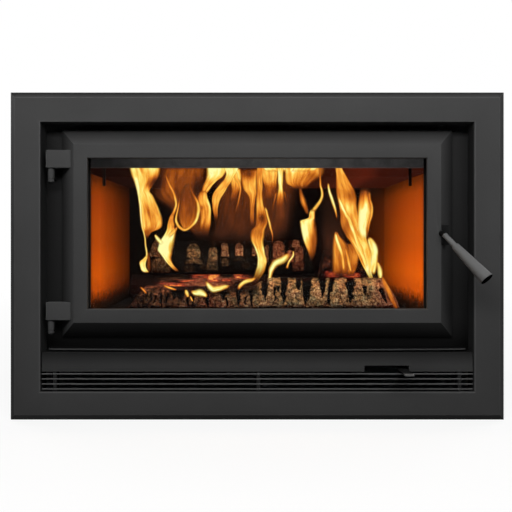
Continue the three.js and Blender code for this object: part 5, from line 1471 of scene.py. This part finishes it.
veil("flame_orange_block", [
    (160, 259, 279, .78), (169, 260.5, 278.4, .76), (175, 261, 278, .72), (181, 262, 277.4, .66),
    (185, 263, 277, .52), (189, 263.4, 276.6, .4), (196, 264, 276, .32), (204, 264.5, 275, .24)],
    soft=(.18, .1), back=-1)
veil("flame_top_streak", [
    (160, 276.6, 285, 1), (169, 277, 284.4, 1), (176, 277.4, 283.9, 1), (184, 277.8, 283.3, 1),
    (190, 277.6, 283.8, .88), (195, 276.6, 284.8, .62), (202, 275, 286, .4), (210, 273.4, 287, .28),
    (220, 272.6, 287.6, .23), (231, 272.6, 287.6, .1)], across=(.86, 1.08, .86), soft=(.3, .3), back=-8)
ribbon("flame_streak_left", [
    (276.6, 192, .9, .56), (274.9, 199, 1, .54), (273.2, 206, .9, .42), (272, 213, .8, .26)], back=-9)
ribbon("flame_streak_right", [
    (284.6, 191, 1, .6), (286, 197, 1, .52), (287.3, 203, .9, .36)], back=-9)
veil("flame_right_block", [
    (160, 283, 324, .82), (168, 283.6, 326, .82), (173, 284, 325.6, .74), (178, 284.4, 321, .66),
    (183, 286, 315, .56), (187, 292, 311, .46), (190.6, 299, 310.6, .34)],
    across=(1.04, 1, .7), soft=(.1, .3), ends=(.05, .3), back=-3)
veil("flame_top_glow", [
    (160, 207, 240, .9), (168, 207, 238, .86), (171.5, 209, 236, .66), (175, 212, 233, .4)],
    soft=(.12, .12), ends=(.05, .5), back=2)
veil("flame_top_edge", [
    (160, 262, 319, .98), (167.6, 262, 319, .94), (170, 264, 317, .84), (173, 267, 314, .6)],
    soft=(.1, .1), ends=(.05, .5), back=-12)
ribbon("flame_small_lick", [
    (291, 253, 1.6, .56), (284.4, 259, 4.8, .84), (276.5, 263, 4.4, .96), (272.2, 269, 3.6, 1),
    (270.3, 277, 2.3, 1), (268.6, 284, 1.9, .9), (267.4, 291, 1, .6)], across=(.85, 1, .7), back=-6)
ribbon("flame_knob_lick", [
    (294, 250.5, .9, .7), (292.8, 256.5, 1.3, .9), (289.3, 262, 1.3, .8), (286.5, 269, 1.8, .6)], back=-4)
ribbon("flame_red_streak", [
    (299.6, 186, 1.8, .36), (301.4, 194, 2.8, .5), (303.4, 202, 3.6, .54), (306, 208.4, 3.2, .54),
    (308.2, 215, 1.5, .4)], back=2)
ribbon("flame_medium_stem", [
    (319.6, 166, 1.3, .6), (319.8, 176, 1.3, .56), (320.8, 184, 1.5, .66), (322.3, 190.5, 1.7, .78),
    (322.1, 196.5, 1.9, .84), (319.6, 202.4, 2.2, .9), (316, 207.6, 2.4, .94), (312.6, 212, 2.8, .96)],
    back=-3)
veil("flame_medium", [
    (209, 311, 315.8, .94), (214, 309.2, 315.6, .96), (218, 308, 315.8, .98), (220.6, 300.4, 316.2, 1),
    (224, 300.2, 317, 1), (229, 300.6, 317.9, 1), (234, 301.4, 318.3, .96), (239, 303, 318.4, .9),
    (244, 304.8, 318, .83), (249, 306.6, 317.2, .76), (254, 308.2, 315.8, .64), (259, 309.4, 314, .5),
    (263, 310.4, 312.6, .3)], across=(1.02, .94, .46), soft=(.12, .25), ends=(.06, .3), back=-6)
ribbon("flame_thin_right", [
    (328.4, 182.6, .8, .72), (329.3, 189, 1.7, .96), (330.9, 196, 2.3, .96), (333.3, 203.5, 2, .88),
    (335.4, 211.6, 1.4, .68), (337, 220, .9, .4)], across=(.9, 1, .75))
print("After the middle flames:", sheet_count(), "sheets")

# %% Right flames
veil("flame_right_haze", [
    (170, 320, 340, .14), (190, 320, 341, .1), (208, 319, 343, .1), (226, 318, 346, .15),
    (240, 318, 350, .2), (252, 318, 352, .18), (264, 320, 352, .1)],
    soft=(.45, .3), ends=(.3, .25), back=10)
veil("flame_big_body", [
    (160, 335, 340, .68), (169, 335.3, 342.8, .66), (176, 335.4, 346.6, .64), (184, 335.6, 351.4, .62),
    (190, 335.9, 355, .62), (197, 336.8, 356.8, .65), (204, 338.2, 357.4, .74), (210, 339.4, 358, .74),
    (217, 339.8, 359.4, .7), (224, 340.6, 361.4, .66), (230, 342.6, 363.4, .7), (236, 345.6, 365.8, .76),
    (242, 349.4, 368.2, .84), (248, 353.6, 370.6, .93), (256, 358, 372, .84), (264, 362, 371.6, .82),
    (270, 365.4, 371.6, .97), (276, 367.8, 372.8, .9), (284, 370.6, 374.8, .8), (292, 374.2, 377.4, .5)],
    across=(.84, 1, .96), soft=(.12, .12), back=-2)
ribbon("flame_big_core", [
    (338.6, 195, 1.6, .74), (341, 203, 2.4, .88), (344.6, 211, 2.8, .98), (349.4, 219.5, 2.8, 1),
    (352.8, 229.6, 2.7, 1), (356.8, 239.4, 2.9, 1), (360.4, 249, 3.2, .97), (364.6, 260, 3.2, .84),
    (368, 270, 2.2, .9)], back=-9)
veil("flame_right_lobe", [
    (189, 361, 369.2, .3), (193.6, 360.4, 369.8, .42), (199, 359.6, 370.2, .62), (205, 358.8, 370.8, .86),
    (212, 357.6, 371.4, 1), (218, 356.8, 370.8, 1), (225, 356.6, 369.2, 1), (231, 357.8, 367.8, 1),
    (237, 359.8, 367.4, .98), (244, 362, 368, .9)], across=(.72, 1.12, .62), soft=(.4, .45), back=-13)
veil("flame_lobe_halo", [
    (184, 359.6, 369.6, .22), (192, 358.6, 371, .34), (202, 357.4, 372.4, .66), (212, 356.6, 373.4, .7),
    (222, 355.6, 372.6, .68), (232, 356.4, 369.8, .66), (242, 359, 369.4, .6)],
    soft=(.3, .35), ends=(.2, .3), back=-5)
ribbon("flame_right_fringe", [
    (368.8, 190, 1.5, .46), (369.8, 199, 1.9, .6), (371.8, 207.6, 1.9, .7), (371.4, 216, 1.8, .68),
    (369.4, 224.6, 1.6, .62), (367.4, 234, 1.4, .52)], back=-15)
ribbon("flame_lower_lobe", [
    (368.5, 237, 2.2, .78), (371.6, 243, 4.8, .96), (373.6, 250, 5.4, 1), (374, 258, 5.3, 1),
    (373.2, 266, 5.2, .94), (371.4, 275, 4.4, .8)], across=(1, 1, .82), soft=(.5, .35), back=-4)
ribbon("flame_far_right", [
    (377.5, 261.5, 1, .8), (379.4, 267.5, 2.8, 1), (380.4, 273.5, 3.2, 1), (380.8, 280, 2.2, .85),
    (381, 286, 1, .5)], back=-30)
ribbon("flame_log_end", [
    (381.5, 275, 1.4, .42), (385, 283.5, 3.8, .6), (389.8, 293, 3.8, .58), (394, 302, 3, .5),
    (397.6, 310, 1.8, .4)], depth=128)
ribbon("flame_tongue", [
    (334.8, 232.6, 1, .8), (336.6, 238, 2.4, 1), (339.4, 246, 2.8, .98), (342.2, 255, 2.8, .92),
    (343.8, 264, 2.4, .76), (344.4, 272, 1.8, .5)], across=(1, 1, .7), back=-6)
veil("flame_tongue_haze", [
    (231, 334.4, 337, .44), (237, 333.2, 342, .54), (244, 332, 349, .58), (252, 331.6, 352, .6),
    (262, 331.6, 353, .56), (271, 331.6, 353, .42), (280, 332, 352, .15)],
    across=(1.2, 1, .8), soft=(.25, .35))
veil("flame_right_tongue", [
    (243, 346, 351, .42), (249, 347, 357.6, .54), (256, 348, 360, .6), (263, 348, 359.4, .58),
    (270, 347, 357.4, .5), (277, 346, 354, .36)], across=(.8, 1, 1.06), soft=(.3, .25))
ribbon("flame_tongue_line", [
    (345.4, 247, 1.2, .62), (347.4, 256, 2, .88), (349.8, 264.5, 2.1, .88), (352, 272, 1.7, .6)], back=-5)
print("After the right flames:", sheet_count(), "sheets")

# %% [markdown]
# Small licks creep along the front log where its bark still gives off gas. They hang just behind the glass,
# in front of the bark, and all have the same soft edges.

# %% Licks on the front log
LICK_DEPTH = 126
LICKS = (
    ((186, 289.6, 1, .8), (187, 293, 2.4, 1), (188.4, 297.6, 1.5, .85)),
    ((190.6, 290.6, .9, .8), (195.4, 292.4, 3.3, .97), (200.4, 292.6, 4.5, .97), (204.6, 294.4, 3.3, .9),
     (207.2, 297.6, 1.1, .6)),
    ((205.8, 280.6, 1.1, .85), (209, 285.6, 3, 1), (213, 289.2, 4.1, 1), (219, 288.4, 3.8, .97),
     (225, 286.8, 3, .92), (230.4, 285.6, 1.1, .7)),
    ((238, 290, 1, .5), (240.8, 284.8, 2.6, .76), (246, 281.6, 2.8, .85), (251.2, 279.6, 2.5, .8),
     (257.4, 277.4, 1.3, .6)),
    ((163, 285.2, .8, .5), (168, 287.2, 1.5, .75), (173, 288.8, 1.4, .7), (177.6, 290, .8, .4)),
    ((140.6, 286.6, 1, .5), (143.4, 290.2, 1.6, .7), (146.4, 294.4, .9, .5)),
    ((190.4, 296, .8, .7), (191.8, 299, 1.4, .85), (193.4, 302, .8, .6)),
)
for count, lick in enumerate(LICKS):
    ribbon(f"lick_{count + 1}", lick, across=(.85, 1, .85), soft=(.5, .5), ends=(.16, .16), depth=LICK_DEPTH)
print(sheet_count(), "sheets of gas in all")

# %% [markdown]
# The last cell brings the placements of the scene up to date.

# %% Update
bpy.context.view_layer.update()
